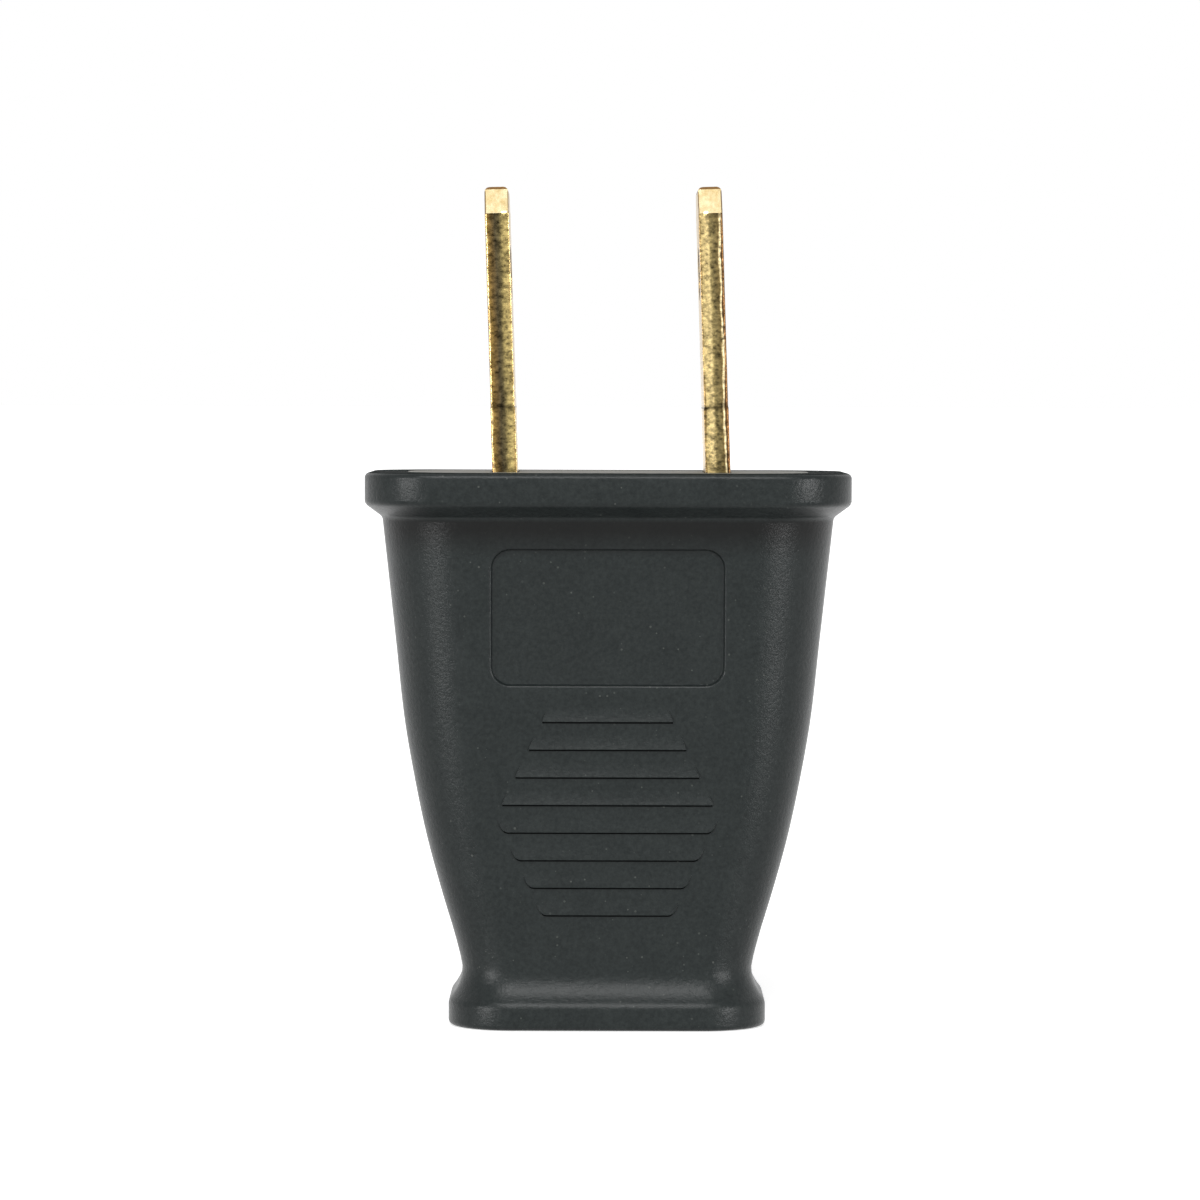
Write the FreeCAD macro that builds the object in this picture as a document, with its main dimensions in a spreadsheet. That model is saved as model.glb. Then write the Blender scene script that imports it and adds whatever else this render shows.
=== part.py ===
"""Polarized plug: a soft moulded shell around a rigid core that carries two flat blades.

The plug stands on its cord end. The origin is the middle of the cord-end face,
+Z points up to the blade tips, +X runs across the two blades and -Y is the front,
the side with the recessed panel. All sizes are in millimetres.
"""

import FreeCAD
import Part
import Sketcher
import os

# Driving dimensions
DIMENSIONS = {
    # The shell, seen from the front: heights above the cord end and full widths
    "shell_height": 33.0,
    "face_flange_width": 28.9,
    "face_flange_depth": 17.6,
    "face_flange_corner": 4.4,
    "face_flange_thickness": 2.7,
    "face_flange_upper_bevel": 0.4,
    "face_flange_lower_bevel": 0.9,
    "shoulder_width": 26.95,
    "shoulder_depth": 15.2,
    "shoulder_corner": 5.15,
    "chest_height": 22.9,
    "chest_width": 25.3,
    "ribs_height": 18.2,
    "ribs_width": 24.25,
    "belly_height": 14.6,
    "belly_width": 23.0,
    "hip_height": 11.2,
    "hip_width": 21.55,
    "thigh_height": 8.0,
    "thigh_width": 19.8,
    "knee_height": 5.0,
    "knee_width": 18.0,
    "waist_height": 3.5,
    "waist_width": 17.3,
    "waist_depth": 11.6,
    "waist_corner": 3.0,
    "cove_radius": 2.8,
    "cove_turn": 45.0,
    "cord_end_bevel": 0.3,
    # The bare recessed panel on the front
    "panel_height_above_end": 24.5,
    "panel_width": 13.8,
    "panel_tall": 8.14,
    "panel_corner": 1.15,
    "panel_recess": 0.28,
    # The field of grip bars, front and back
    "grip_top_height": 19.2,
    "grip_high_half_width": 3.5,
    "grip_middle_half_width": 6.6,
    "grip_low_half_width": 3.9,
    "grip_middle_drop": 6.5,
    "grip_bar_tall": 0.84,
    "grip_bar_pitch": 1.647,
    "grip_bar_count": 8,
    "grip_bar_proud": 0.18,
    "grip_root": 0.6,
    # Two flat blades
    "blade_spacing": 12.7,
    "blade_length": 17.0,
    "blade_thickness": 1.42,
    "blade_root_thickness": 1.48,
    "blade_root_height": 3.9,
    "hot_blade_width": 6.35,
    "neutral_blade_width": 7.94,
    "blade_tip_rise": 1.6,
    "blade_tip_inset": 1.1,
    "blade_tip_bevel": 0.2,
    "blade_hole_diameter": 3.2,
    "blade_hole_height": 11.9,
    "blade_lean": 1.87,
    "blade_pivot_height": 5.5,
    "tail_width": 8.5,
    "tail_top_below_face": 4.23,
    "tail_length": 11.4,
    # The rigid core with its face, its two wiring chambers and a snap bead
    "core_face_width": 24.0,
    "core_face_depth": 12.4,
    "core_face_corner": 4.6,
    "core_face_thickness": 2.0,
    "core_block_width": 20.4,
    "core_block_depth": 10.4,
    "core_block_corner": 2.4,
    "core_bottom_height": 16.0,
    "chamber_inner_edge": 0.8,
    "chamber_outer_edge": 9.3,
    "chamber_depth": 8.7,
    "chamber_roof_below_face": 4.2,
    "slot_clearance": 0.16,
    "bead_height_above_end": 27.0,
    "bead_tall": 1.0,
    "bead_proud": 0.35,
    "bead_lead": 0.3,
    "fit_gap": 0.1,
    # The cap that closes the core at the back
    "cap_thickness": 2.0,
    "cap_tenon_tall": 1.3,
    "funnel_offset": 4.0,
    "funnel_diameter": 2.4,
    "funnel_flare": 0.8,
    # The spring clamps
    "spring_thickness": 0.4,
    "spring_width": 5.2,
    "spring_foot_height": -19.2,
    "spring_bend_height": -12.2,
    "spring_crown_offset": 3.9,
    "spring_knee_height": -13.6,
    "spring_nip_offset": 1.9,
    "spring_nip_height": -17.2,
    "spring_lip_offset": 2.7,
    "spring_lip_height": -18.6,
    "spring_bend_round": 0.3,
    # The way in for the cord
    "wiring_width": 15.0,
    "wiring_depth": 7.6,
    "wiring_corner": 3.0,
    "wiring_floor_height": 5.0,
    "cord_entry_width": 8.8,
    "cord_entry_depth": 5.4,
    "cord_entry_corner": 2.6,
}

# How far the notch between two grip bars reaches below and above the shell's skin
NOTCH_SINK = 0.1
NOTCH_STEP = 0.03
NOTCH_CLEAR = 1.0
# The length of a cut that goes right through, and how far a cut runs past a face
THROUGH_LENGTH = 30.0
OVERRUN = 1.0
# Edges longer than this are picked, the short ones beside them are not
SHORT_EDGE = 1.0
GEOMETRY_TOLERANCE = 0.02
COVE_STEPS = 3

# Heights and slopes worked out from the driving dimensions
SHOULDER_HEIGHT = "(Dimensions.shell_height - Dimensions.face_flange_thickness)"
FACE_TAPER = (
    "atan((Dimensions.shoulder_depth - Dimensions.waist_depth) / 2"
    f" / ({SHOULDER_HEIGHT} - Dimensions.waist_height))"
)
PIVOT_HEIGHT = "(Dimensions.shell_height + Dimensions.blade_pivot_height)"
CAVITY_BOTTOM = "(Dimensions.core_bottom_height - Dimensions.cap_thickness)"
CAVITY_WIDTH = "(Dimensions.core_block_width + 2 * Dimensions.fit_gap)"
CAVITY_DEPTH = "(Dimensions.core_block_depth + 2 * Dimensions.fit_gap)"
CAVITY_CORNER = "(Dimensions.core_block_corner + Dimensions.fit_gap)"

X_AXIS = FreeCAD.Vector(1, 0, 0)
Y_AXIS = FreeCAD.Vector(0, 1, 0)
Z_AXIS = FreeCAD.Vector(0, 0, 1)

document = FreeCAD.newDocument("PolarizedPlug")


def make_sheet():
    """Write the driving dimensions into the document's spreadsheet."""
    sheet = document.addObject("Spreadsheet::Sheet", "Dimensions")
    for row, (alias, value) in enumerate(DIMENSIONS.items(), start=1):
        sheet.set(f"A{row}", alias)
        sheet.set(f"B{row}", str(value))
        sheet.setAlias(f"B{row}", alias)
    document.recompute()
    return sheet


sheet = make_sheet()


def value_of(expression):
    """Give the number that an expression on the sheet stands for."""
    result = sheet.evalExpression(str(expression))
    return float(getattr(result, "Value", result))


def at(height):
    """Name a height's share of the way from the waist up to the shoulder."""
    return f"(({height} - Dimensions.waist_height) / ({SHOULDER_HEIGHT} - Dimensions.waist_height))"


def between(low, high, height):
    """Blend a size at the waist into the same size at the shoulder."""
    return f"({low} + ({high} - {low}) * {at(height)})"


def depth_at(height):
    """Give the shell's full depth at a height; its front and back are flat and tapered."""
    return between("Dimensions.waist_depth", "Dimensions.shoulder_depth", height)


def corner_at(height):
    """Give the shell's plan corner radius at a height."""
    return between("Dimensions.waist_corner", "Dimensions.shoulder_corner", height)


def new_body(name):
    """Start a body whose label names the sub-part."""
    body = document.addObject("PartDesign::Body", name)
    body.Label = name
    return body


def origin_plane(body, role):
    """Find one of the body's own origin planes."""
    return next(item for item in body.Origin.OriginFeatures if item.Role == role)


def bind(item, path, expression):
    """Bind a property to an expression on the sheet."""
    item.setExpression(path, str(expression))


def new_sketch(body, name, role="XY_Plane", offset=("0", "0", "0"), turn=None):
    """Attach a sketch to an origin plane, moved and turned by expressions.

    The turn is an axis of the sketch's own frame and an angle expression.
    """
    sketch = body.newObject("Sketcher::SketchObject", name)
    sketch.AttachmentSupport = [(origin_plane(body, role), "")]
    sketch.MapMode = "FlatFace"
    if turn:
        axis, angle = turn
        sketch.AttachmentOffset = FreeCAD.Placement(
            FreeCAD.Vector(), FreeCAD.Rotation(axis, value_of(angle))
        )
        bind(sketch, "AttachmentOffset.Rotation.Angle", angle)
    for letter, expression in zip("xyz", offset):
        bind(sketch, f"AttachmentOffset.Base.{letter}", expression)
    return sketch


def add_size(sketch, kind, where, expression, name):
    """Add a dimension to a sketch and bind it to the sheet."""
    index = sketch.addConstraint(Sketcher.Constraint(kind, *where, value_of(expression)))
    sketch.renameConstraint(index, name)
    bind(sketch, f"Constraints.{name}", expression)


def rounded_rectangle(sketch, width, depth, radius):
    """Draw a rectangle with round corners about the sketch's origin."""
    half_w, half_d, r = value_of(width) / 2, value_of(depth) / 2, value_of(radius)
    flat_w, flat_d = half_w - r, half_d - r
    corners = [(flat_w, -half_d), (half_w, flat_d), (-flat_w, half_d), (-half_w, -flat_d)]
    starts = [(-flat_w, -half_d), (half_w, -flat_d), (flat_w, half_d), (-half_w, flat_d)]
    centres = [(flat_w, -flat_d), (flat_w, flat_d), (-flat_w, flat_d), (-flat_w, -flat_d)]
    quarter = FreeCAD.Units.parseQuantity("90 deg").getValueAs("rad").Value
    for start, end in zip(starts, corners):
        line = Part.LineSegment(FreeCAD.Vector(*start, 0), FreeCAD.Vector(*end, 0))
        sketch.addGeometry(line)
    for index, centre in enumerate(centres):
        circle = Part.Circle(FreeCAD.Vector(*centre, 0), Z_AXIS, r)
        first = (index - 1) * quarter
        sketch.addGeometry(Part.ArcOfCircle(circle, first, first + quarter))
    for side in range(4):
        sketch.addConstraint(Sketcher.Constraint("Tangent", side, 2, side + 4, 1))
        sketch.addConstraint(Sketcher.Constraint("Tangent", side + 4, 2, (side + 1) % 4, 1))
    for side in (0, 2):
        sketch.addConstraint(Sketcher.Constraint("Horizontal", side))
    for side in (1, 3):
        sketch.addConstraint(Sketcher.Constraint("Vertical", side))
    for corner in (5, 6, 7):
        sketch.addConstraint(Sketcher.Constraint("Equal", 4, corner))
    sketch.addConstraint(Sketcher.Constraint("Symmetric", 4, 3, 6, 3, -1, 1))
    add_size(sketch, "DistanceX", (3, 1, 1, 1), width, "width")
    add_size(sketch, "DistanceY", (0, 1, 2, 1), depth, "depth")
    add_size(sketch, "Radius", (4,), radius, "corner")
    return sketch


def path_of(sketch, points, closed=True):
    """Draw straight runs through points, each point bound to the sheet by its x and y."""
    places = [FreeCAD.Vector(value_of(x), value_of(y), 0) for x, y in points]
    count = len(places)
    runs = count if closed else count - 1
    for index in range(runs):
        sketch.addGeometry(Part.LineSegment(places[index], places[(index + 1) % count]))
    for index in range(runs if closed else runs - 1):
        joint = Sketcher.Constraint("Coincident", index, 2, (index + 1) % runs, 1)
        sketch.addConstraint(joint)
    for index, (x, y) in enumerate(points):
        line, end = (index, 1) if index < runs else (index - 1, 2)
        add_size(sketch, "DistanceX", (-1, 1, line, end), x, f"x{index}")
        add_size(sketch, "DistanceY", (-1, 1, line, end), y, f"y{index}")
    return sketch


def circle_of(sketch, x, y, diameter):
    """Draw a circle whose centre and diameter are bound to the sheet."""
    centre = FreeCAD.Vector(value_of(x), value_of(y), 0)
    sketch.addGeometry(Part.Circle(centre, Z_AXIS, value_of(diameter) / 2))
    add_size(sketch, "DistanceX", (-1, 1, 0, 3), x, "x")
    add_size(sketch, "DistanceY", (-1, 1, 0, 3), y, "y")
    add_size(sketch, "Diameter", (0,), diameter, "diameter")
    return sketch


def pad(body, name, sketch, length, middle=False):
    """Pad a sketch along its normal, or to both sides of it."""
    feature = body.newObject("PartDesign::Pad", name)
    feature.Profile = sketch
    bind(feature, "Length", length)
    if middle:
        feature.Midplane = True
    document.recompute()
    return feature


def pocket(body, name, sketch, length, middle=False, reverse=False):
    """Cut a sketch into the body and make sure that it removed something."""
    before = body.Shape.Volume
    feature = body.newObject("PartDesign::Pocket", name)
    feature.Profile = sketch
    bind(feature, "Length", length)
    feature.Reversed = reverse
    if middle:
        feature.Midplane = True
    document.recompute()
    if body.Shape.Volume > before - GEOMETRY_TOLERANCE:
        raise RuntimeError(f"{name} cut nothing")
    return feature


def loft(body, name, sketches, ruled=False):
    """Run a skin through a row of sections, smoothly or with straight rulings."""
    feature = body.newObject("PartDesign::AdditiveLoft", name)
    feature.Profile = sketches[0]
    feature.Sections = sketches[1:]
    feature.Ruled = ruled
    document.recompute()
    return feature


def edge_names(feature, wanted):
    """Name the edges of a feature that a test picks by their bounding box."""
    edges = enumerate(feature.Shape.Edges, start=1)
    return [f"Edge{number}" for number, edge in edges if wanted(edge.BoundBox)]


def level(height):
    """Make a test for edges that lie flat at one height."""
    z = value_of(height)
    return lambda box: reach(box.ZMin - z, box.ZMax - z) < GEOMETRY_TOLERANCE


def reach(low, high):
    """Give how far a range of coordinates reaches from the middle."""
    return max(abs(low), abs(high))


def fillet(body, name, base, edges, radius):
    """Round the named edges of the last feature."""
    feature = body.newObject("PartDesign::Fillet", name)
    feature.Base = (base, edges)
    bind(feature, "Radius", radius)
    document.recompute()
    return feature


def chamfer(body, name, base, edges, size):
    """Bevel the named edges of the last feature."""
    feature = body.newObject("PartDesign::Chamfer", name)
    feature.Base = (base, edges)
    bind(feature, "Size", size)
    document.recompute()
    return feature


def shell_section(body, name, height, width):
    """Draw one section of the shell's tapered body."""
    sketch = new_sketch(body, name, offset=("0", "0", height))
    return rounded_rectangle(sketch, width, depth_at(height), corner_at(height))


def cove_at(angle):
    """Give how far the cove has fallen and grown at an angle along its arc."""
    fall = f"Dimensions.cove_radius * sin({angle} * 1 deg)"
    grow = f"Dimensions.cove_radius * (1 - cos({angle} * 1 deg))"
    return fall, grow


def cove_section(body, name, angle):
    """Draw one section of the cove, at an angle along its arc from the waist."""
    fall, grow = cove_at(angle)
    sketch = new_sketch(body, name, offset=("0", "0", f"Dimensions.waist_height - {fall}"))
    return rounded_rectangle(
        sketch,
        f"Dimensions.waist_width + 2 * {grow}",
        f"Dimensions.waist_depth + 2 * {grow}",
        f"Dimensions.waist_corner + {grow}",
    )


def shell_outside(body):
    """Model the shell's outside: lofted body, cove, cord-end flange and face flange."""
    stations = [("Shoulder", SHOULDER_HEIGHT, "Dimensions.shoulder_width")]
    for name in ("chest", "ribs", "belly", "hip", "thigh", "knee", "waist"):
        stations.append((name.title(), f"Dimensions.{name}_height", f"Dimensions.{name}_width"))
    sections = [shell_section(body, f"{name}Section", z, width) for name, z, width in stations]
    loft(body, "TaperedBody", sections, ruled=True)

    shares = [f"Dimensions.cove_turn * {step} / {COVE_STEPS}" for step in range(COVE_STEPS + 1)]
    cove = [cove_section(body, f"CoveSection{step}", share) for step, share in enumerate(shares)]
    loft(body, "Cove", cove)

    fall, grow = cove_at("Dimensions.cove_turn")
    cord_end = rounded_rectangle(
        new_sketch(body, "CordEndOutline"),
        f"Dimensions.waist_width + 2 * {grow}",
        f"Dimensions.waist_depth + 2 * {grow}",
        f"Dimensions.waist_corner + {grow}",
    )
    pad(body, "CordEndFlange", cord_end, f"Dimensions.waist_height - {fall}")

    face = rounded_rectangle(
        new_sketch(body, "FaceFlangeOutline", offset=("0", "0", SHOULDER_HEIGHT)),
        "Dimensions.face_flange_width",
        "Dimensions.face_flange_depth",
        "Dimensions.face_flange_corner",
    )
    flange = pad(body, "FaceFlange", face, "Dimensions.face_flange_thickness")

    edges = edge_names(flange, level(0))
    bevelled = chamfer(body, "CordEndBevel", flange, edges, "Dimensions.cord_end_bevel")
    wide = value_of("Dimensions.shoulder_depth") / 2 + GEOMETRY_TOLERANCE
    under = level(SHOULDER_HEIGHT)
    edges = edge_names(bevelled, lambda box: under(box) and reach(box.YMin, box.YMax) > wide)
    bevelled = chamfer(
        body, "FaceLowerBevel", bevelled, edges, "Dimensions.face_flange_lower_bevel"
    )
    edges = edge_names(bevelled, level("Dimensions.shell_height"))
    return chamfer(body, "FaceUpperBevel", bevelled, edges, "Dimensions.face_flange_upper_bevel")


def shell_inside(body):
    """Hollow the shell for the core, its bead, the wiring and the cord."""
    face = rounded_rectangle(
        new_sketch(body, "FaceSeatOutline", offset=("0", "0", "Dimensions.shell_height")),
        "Dimensions.core_face_width + 2 * Dimensions.fit_gap",
        "Dimensions.core_face_depth + 2 * Dimensions.fit_gap",
        "Dimensions.core_face_corner + Dimensions.fit_gap",
    )
    pocket(body, "FaceSeat", face, "Dimensions.core_face_thickness")

    block = rounded_rectangle(
        new_sketch(body, "CoreSeatOutline", offset=("0", "0", "Dimensions.shell_height")),
        CAVITY_WIDTH,
        CAVITY_DEPTH,
        CAVITY_CORNER,
    )
    pocket(body, "CoreSeat", block, f"Dimensions.shell_height - {CAVITY_BOTTOM}")

    bead_top = "Dimensions.bead_height_above_end + Dimensions.bead_tall / 2 + Dimensions.fit_gap"
    groove = rounded_rectangle(
        new_sketch(body, "BeadGrooveOutline", offset=("0", "0", bead_top)),
        f"{CAVITY_WIDTH} + 2 * Dimensions.bead_proud",
        f"{CAVITY_DEPTH} + 2 * Dimensions.bead_proud",
        f"{CAVITY_CORNER} + Dimensions.bead_proud",
    )
    pocket(body, "BeadGroove", groove, "Dimensions.bead_tall + 2 * Dimensions.fit_gap")

    wiring = rounded_rectangle(
        new_sketch(body, "WiringSpaceOutline", offset=("0", "0", CAVITY_BOTTOM)),
        "Dimensions.wiring_width",
        "Dimensions.wiring_depth",
        "Dimensions.wiring_corner",
    )
    pocket(body, "WiringSpace", wiring, f"{CAVITY_BOTTOM} - Dimensions.wiring_floor_height")

    entry = rounded_rectangle(
        new_sketch(body, "CordEntryOutline"),
        "Dimensions.cord_entry_width",
        "Dimensions.cord_entry_depth",
        "Dimensions.cord_entry_corner",
    )
    pocket(body, "CordEntry", entry, f"Dimensions.wiring_floor_height + {OVERRUN}", reverse=True)


def panel_recess(body):
    """Sink the bare panel into the flat, tapered front."""
    height = "Dimensions.panel_height_above_end"
    sketch = new_sketch(
        body,
        "PanelOutline",
        "XZ_Plane",
        offset=("0", height, f"{depth_at(height)} / 2"),
        turn=(X_AXIS, FACE_TAPER),
    )
    rounded_rectangle(
        sketch, "Dimensions.panel_width", "Dimensions.panel_tall", "Dimensions.panel_corner"
    )
    pocket(body, "PanelRecess", sketch, "Dimensions.panel_recess")


def grip_field(name):
    """Model the front field of wedge-shaped grip bars, rooted under the shell's skin."""
    body = new_body(name)
    top = "Dimensions.grip_top_height"
    skin = f"{depth_at(top)} / 2"
    run = "(Dimensions.grip_bar_count - 1) * Dimensions.grip_bar_pitch"
    tall = f"({run} + Dimensions.grip_bar_tall)"
    root = "Dimensions.grip_root"
    outline = new_sketch(
        body,
        f"{name}Outline",
        "XZ_Plane",
        offset=(
            "0",
            f"{top} + {root} * sin({FACE_TAPER})",
            f"{skin} - {root} * cos({FACE_TAPER})",
        ),
        turn=(X_AXIS, FACE_TAPER),
    )
    high, low = "Dimensions.grip_high_half_width", "Dimensions.grip_low_half_width"
    middle, drop = "Dimensions.grip_middle_half_width", "Dimensions.grip_middle_drop"
    path_of(
        outline,
        [
            (high, 0),
            (middle, f"-{drop}"),
            (low, f"-{tall}"),
            (f"-{low}", f"-{tall}"),
            (f"-{middle}", f"-{drop}"),
            (f"-{high}", 0),
        ],
    )
    pad(body, f"{name}Field", outline, f"{root} + Dimensions.grip_bar_proud")

    notch = new_sketch(
        body,
        f"{name}Notch",
        "YZ_Plane",
        offset=(f"-{skin}", top, "0"),
        turn=(Z_AXIS, FACE_TAPER),
    )
    gap = "(Dimensions.grip_bar_pitch - Dimensions.grip_bar_tall)"
    path_of(
        notch,
        [
            (f"-{NOTCH_CLEAR}", gap),
            (NOTCH_SINK, gap),
            (NOTCH_SINK, 0),
            (f"-{NOTCH_STEP}", 0),
            ("-Dimensions.grip_bar_proud", "-Dimensions.grip_bar_tall"),
            (f"-{NOTCH_CLEAR}", "-Dimensions.grip_bar_tall"),
        ],
    )
    cut = pocket(body, f"{name}Gap", notch, THROUGH_LENGTH, middle=True)

    bars = body.newObject("PartDesign::LinearPattern", f"{name}Row")
    bars.Originals = [cut]
    bars.Direction = (notch, ["V_Axis"])
    bars.Reversed = True
    bind(bars, "Length", run)
    bind(bars, "Occurrences", "Dimensions.grip_bar_count")
    body.Tip = bars
    document.recompute()
    return body


def make_shell():
    """Fuse the moulded shell with its grip bars, front and back."""
    moulding = new_body("ShellMoulding")
    shell_outside(moulding)
    shell_inside(moulding)
    panel_recess(moulding)
    front = grip_field("FrontGrip")
    back = document.addObject("Part::Mirroring", "BackGrip")
    back.Source = front
    back.Normal = Y_AXIS
    shell = document.addObject("Part::MultiFuse", "shell")
    shell.Shapes = [moulding, front, back]
    document.recompute()
    return shell


def blade_slot(body, name, side, blade_width):
    """Cut the leaning slot that one blade passes through."""
    slot = new_sketch(
        body,
        f"{name}Outline",
        "XZ_Plane",
        offset=(f"{side} * Dimensions.blade_spacing / 2", PIVOT_HEIGHT, "0"),
        turn=(Z_AXIS, "Dimensions.blade_lean"),
    )
    half = "(Dimensions.blade_root_thickness + Dimensions.slot_clearance) / 2"
    roof = f"-(Dimensions.blade_pivot_height + Dimensions.chamber_roof_below_face + {OVERRUN})"
    clear = f"-(Dimensions.blade_pivot_height - {OVERRUN})"
    path_of(slot, [(f"-{half}", roof), (half, roof), (half, clear), (f"-{half}", clear)])
    return pocket(body, name, slot, f"{blade_width} + Dimensions.slot_clearance", middle=True)


def chamber_outline(sketch, side, shrink="0"):
    """Draw one wiring chamber in plan, on the side given by its sign."""
    inner = f"{side} * (Dimensions.chamber_inner_edge + {shrink})"
    outer = f"{side} * (Dimensions.chamber_outer_edge - {shrink})"
    half = f"(Dimensions.chamber_depth / 2 - {shrink})"
    return path_of(
        sketch, [(inner, f"-{half}"), (outer, f"-{half}"), (outer, half), (inner, half)]
    )


def make_core():
    """Model the rigid core: flush face, block, snap bead, two chambers and two slots."""
    body = new_body("core")
    top = "Dimensions.shell_height - Dimensions.core_face_thickness"
    face = rounded_rectangle(
        new_sketch(body, "CoreFaceOutline", offset=("0", "0", top)),
        "Dimensions.core_face_width",
        "Dimensions.core_face_depth",
        "Dimensions.core_face_corner",
    )
    pad(body, "CoreFace", face, "Dimensions.core_face_thickness")

    block = rounded_rectangle(
        new_sketch(body, "CoreBlockOutline", offset=("0", "0", "Dimensions.core_bottom_height")),
        "Dimensions.core_block_width",
        "Dimensions.core_block_depth",
        "Dimensions.core_block_corner",
    )
    pad(body, "CoreBlock", block, f"{top} - Dimensions.core_bottom_height")

    low = "Dimensions.bead_height_above_end - Dimensions.bead_tall / 2"
    bead = rounded_rectangle(
        new_sketch(body, "BeadOutline", offset=("0", "0", low)),
        "Dimensions.core_block_width + 2 * Dimensions.bead_proud",
        "Dimensions.core_block_depth + 2 * Dimensions.bead_proud",
        "Dimensions.core_block_corner + Dimensions.bead_proud",
    )
    ring = pad(body, "Bead", bead, "Dimensions.bead_tall")
    outside = value_of("Dimensions.core_block_depth") / 2 + GEOMETRY_TOLERANCE
    flat = level(low)
    edges = edge_names(ring, lambda box: flat(box) and reach(box.YMin, box.YMax) > outside)
    chamfer(body, "BeadLead", ring, edges, "Dimensions.bead_lead")

    roof = "Dimensions.shell_height - Dimensions.chamber_roof_below_face"
    ceiling = f"{roof} - Dimensions.core_bottom_height"
    for name, side in (("Hot", -1), ("Neutral", 1)):
        sketch = new_sketch(
            body, f"{name}ChamberOutline", offset=("0", "0", "Dimensions.core_bottom_height")
        )
        chamber_outline(sketch, side)
        pocket(body, f"{name}Chamber", sketch, ceiling, reverse=True)
    blade_slot(body, "HotSlot", -1, "Dimensions.hot_blade_width")
    blade_slot(body, "NeutralSlot", 1, "Dimensions.neutral_blade_width")
    return body


def make_core_cap():
    """Model the cap: a plate with a tenon for each chamber and a flared hole for each wire."""
    body = new_body("core_cap")
    plate = rounded_rectangle(
        new_sketch(body, "CapOutline", offset=("0", "0", CAVITY_BOTTOM)),
        "Dimensions.core_block_width",
        "Dimensions.core_block_depth",
        "Dimensions.core_block_corner",
    )
    pad(body, "CapPlate", plate, "Dimensions.cap_thickness")
    for name, side in (("Hot", -1), ("Neutral", 1)):
        sketch = new_sketch(
            body, f"{name}TenonOutline", offset=("0", "0", "Dimensions.core_bottom_height")
        )
        chamber_outline(sketch, side, "Dimensions.fit_gap")
        pad(body, f"{name}Tenon", sketch, "Dimensions.cap_tenon_tall")
    for name, side in (("Hot", -1), ("Neutral", 1)):
        sketch = new_sketch(body, f"{name}FunnelOutline", offset=("0", "0", CAVITY_BOTTOM))
        circle_of(sketch, f"{side} * Dimensions.funnel_offset", 0, "Dimensions.funnel_diameter")
        depth = f"Dimensions.cap_thickness + Dimensions.cap_tenon_tall + {OVERRUN}"
        hole = pocket(body, f"{name}Funnel", sketch, depth, reverse=True)
    inside = value_of("Dimensions.core_block_width") / 2 - value_of("Dimensions.core_block_corner")
    floor = level(CAVITY_BOTTOM)
    edges = edge_names(
        hole,
        lambda box: floor(box)
        and reach(box.XMin, box.XMax) < inside
        and min(box.XLength, box.YLength) > SHORT_EDGE,
    )
    chamfer(body, "FunnelFlare", hole, edges, "Dimensions.funnel_flare")
    return body


def make_blade(name, side, width):
    """Model one stamped blade with its tail, in a frame that leans about its pivot."""
    body = new_body(name)
    tip = "(Dimensions.blade_length - Dimensions.blade_pivot_height)"
    neck = "(Dimensions.blade_pivot_height + Dimensions.tail_top_below_face)"
    end = f"({neck} + Dimensions.tail_length)"
    half, tail = f"{width} / 2", "Dimensions.tail_width / 2"
    inset = f"({half} - Dimensions.blade_tip_inset)"
    right_side = [
        (inset, tip),
        (half, f"{tip} - Dimensions.blade_tip_rise"),
        (half, f"-{neck}"),
        (tail, f"-{neck}"),
        (tail, f"-{end}"),
    ]
    left_side = [(f"-{y}", z) for y, z in reversed(right_side)]
    outline = path_of(new_sketch(body, f"{name}Outline", "YZ_Plane"), right_side + left_side)
    strip = pad(body, f"{name}Strip", outline, "Dimensions.blade_thickness", middle=True)

    top = value_of(tip)
    flat_top = level(tip)
    edges = edge_names(strip, lambda box: flat_top(box) and box.YLength > SHORT_EDGE)
    sloped = edge_names(
        strip,
        lambda box: box.ZMax > top - GEOMETRY_TOLERANCE
        and box.ZLength > SHORT_EDGE
        and box.XLength < SHORT_EDGE,
    )
    chamfer(body, f"{name}TipBevel", strip, edges + sloped, "Dimensions.blade_tip_bevel")

    root_top = "(Dimensions.blade_root_height - Dimensions.blade_pivot_height)"
    root = [(half, root_top), (half, f"-{neck}"), (f"-{half}", f"-{neck}"), (f"-{half}", root_top)]
    sheath = path_of(new_sketch(body, f"{name}RootOutline", "YZ_Plane"), root)
    pad(body, f"{name}Root", sheath, "Dimensions.blade_root_thickness", middle=True)

    hole = circle_of(
        new_sketch(body, f"{name}HoleOutline", "YZ_Plane"),
        0,
        "Dimensions.blade_hole_height - Dimensions.blade_pivot_height",
        "Dimensions.blade_hole_diameter",
    )
    pocket(body, f"{name}Hole", hole, THROUGH_LENGTH, middle=True)
    lean_into_place(body, side)
    return body


def lean_into_place(body, side):
    """Set a body at its blade's pivot and lean it as the blades lean."""
    lean = value_of("Dimensions.blade_lean")
    body.Placement = FreeCAD.Placement(FreeCAD.Vector(), FreeCAD.Rotation(Y_AXIS, -lean))
    bind(body, "Placement.Base.x", f"{side} * Dimensions.blade_spacing / 2")
    bind(body, "Placement.Base.z", PIVOT_HEIGHT)
    document.recompute()


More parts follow.
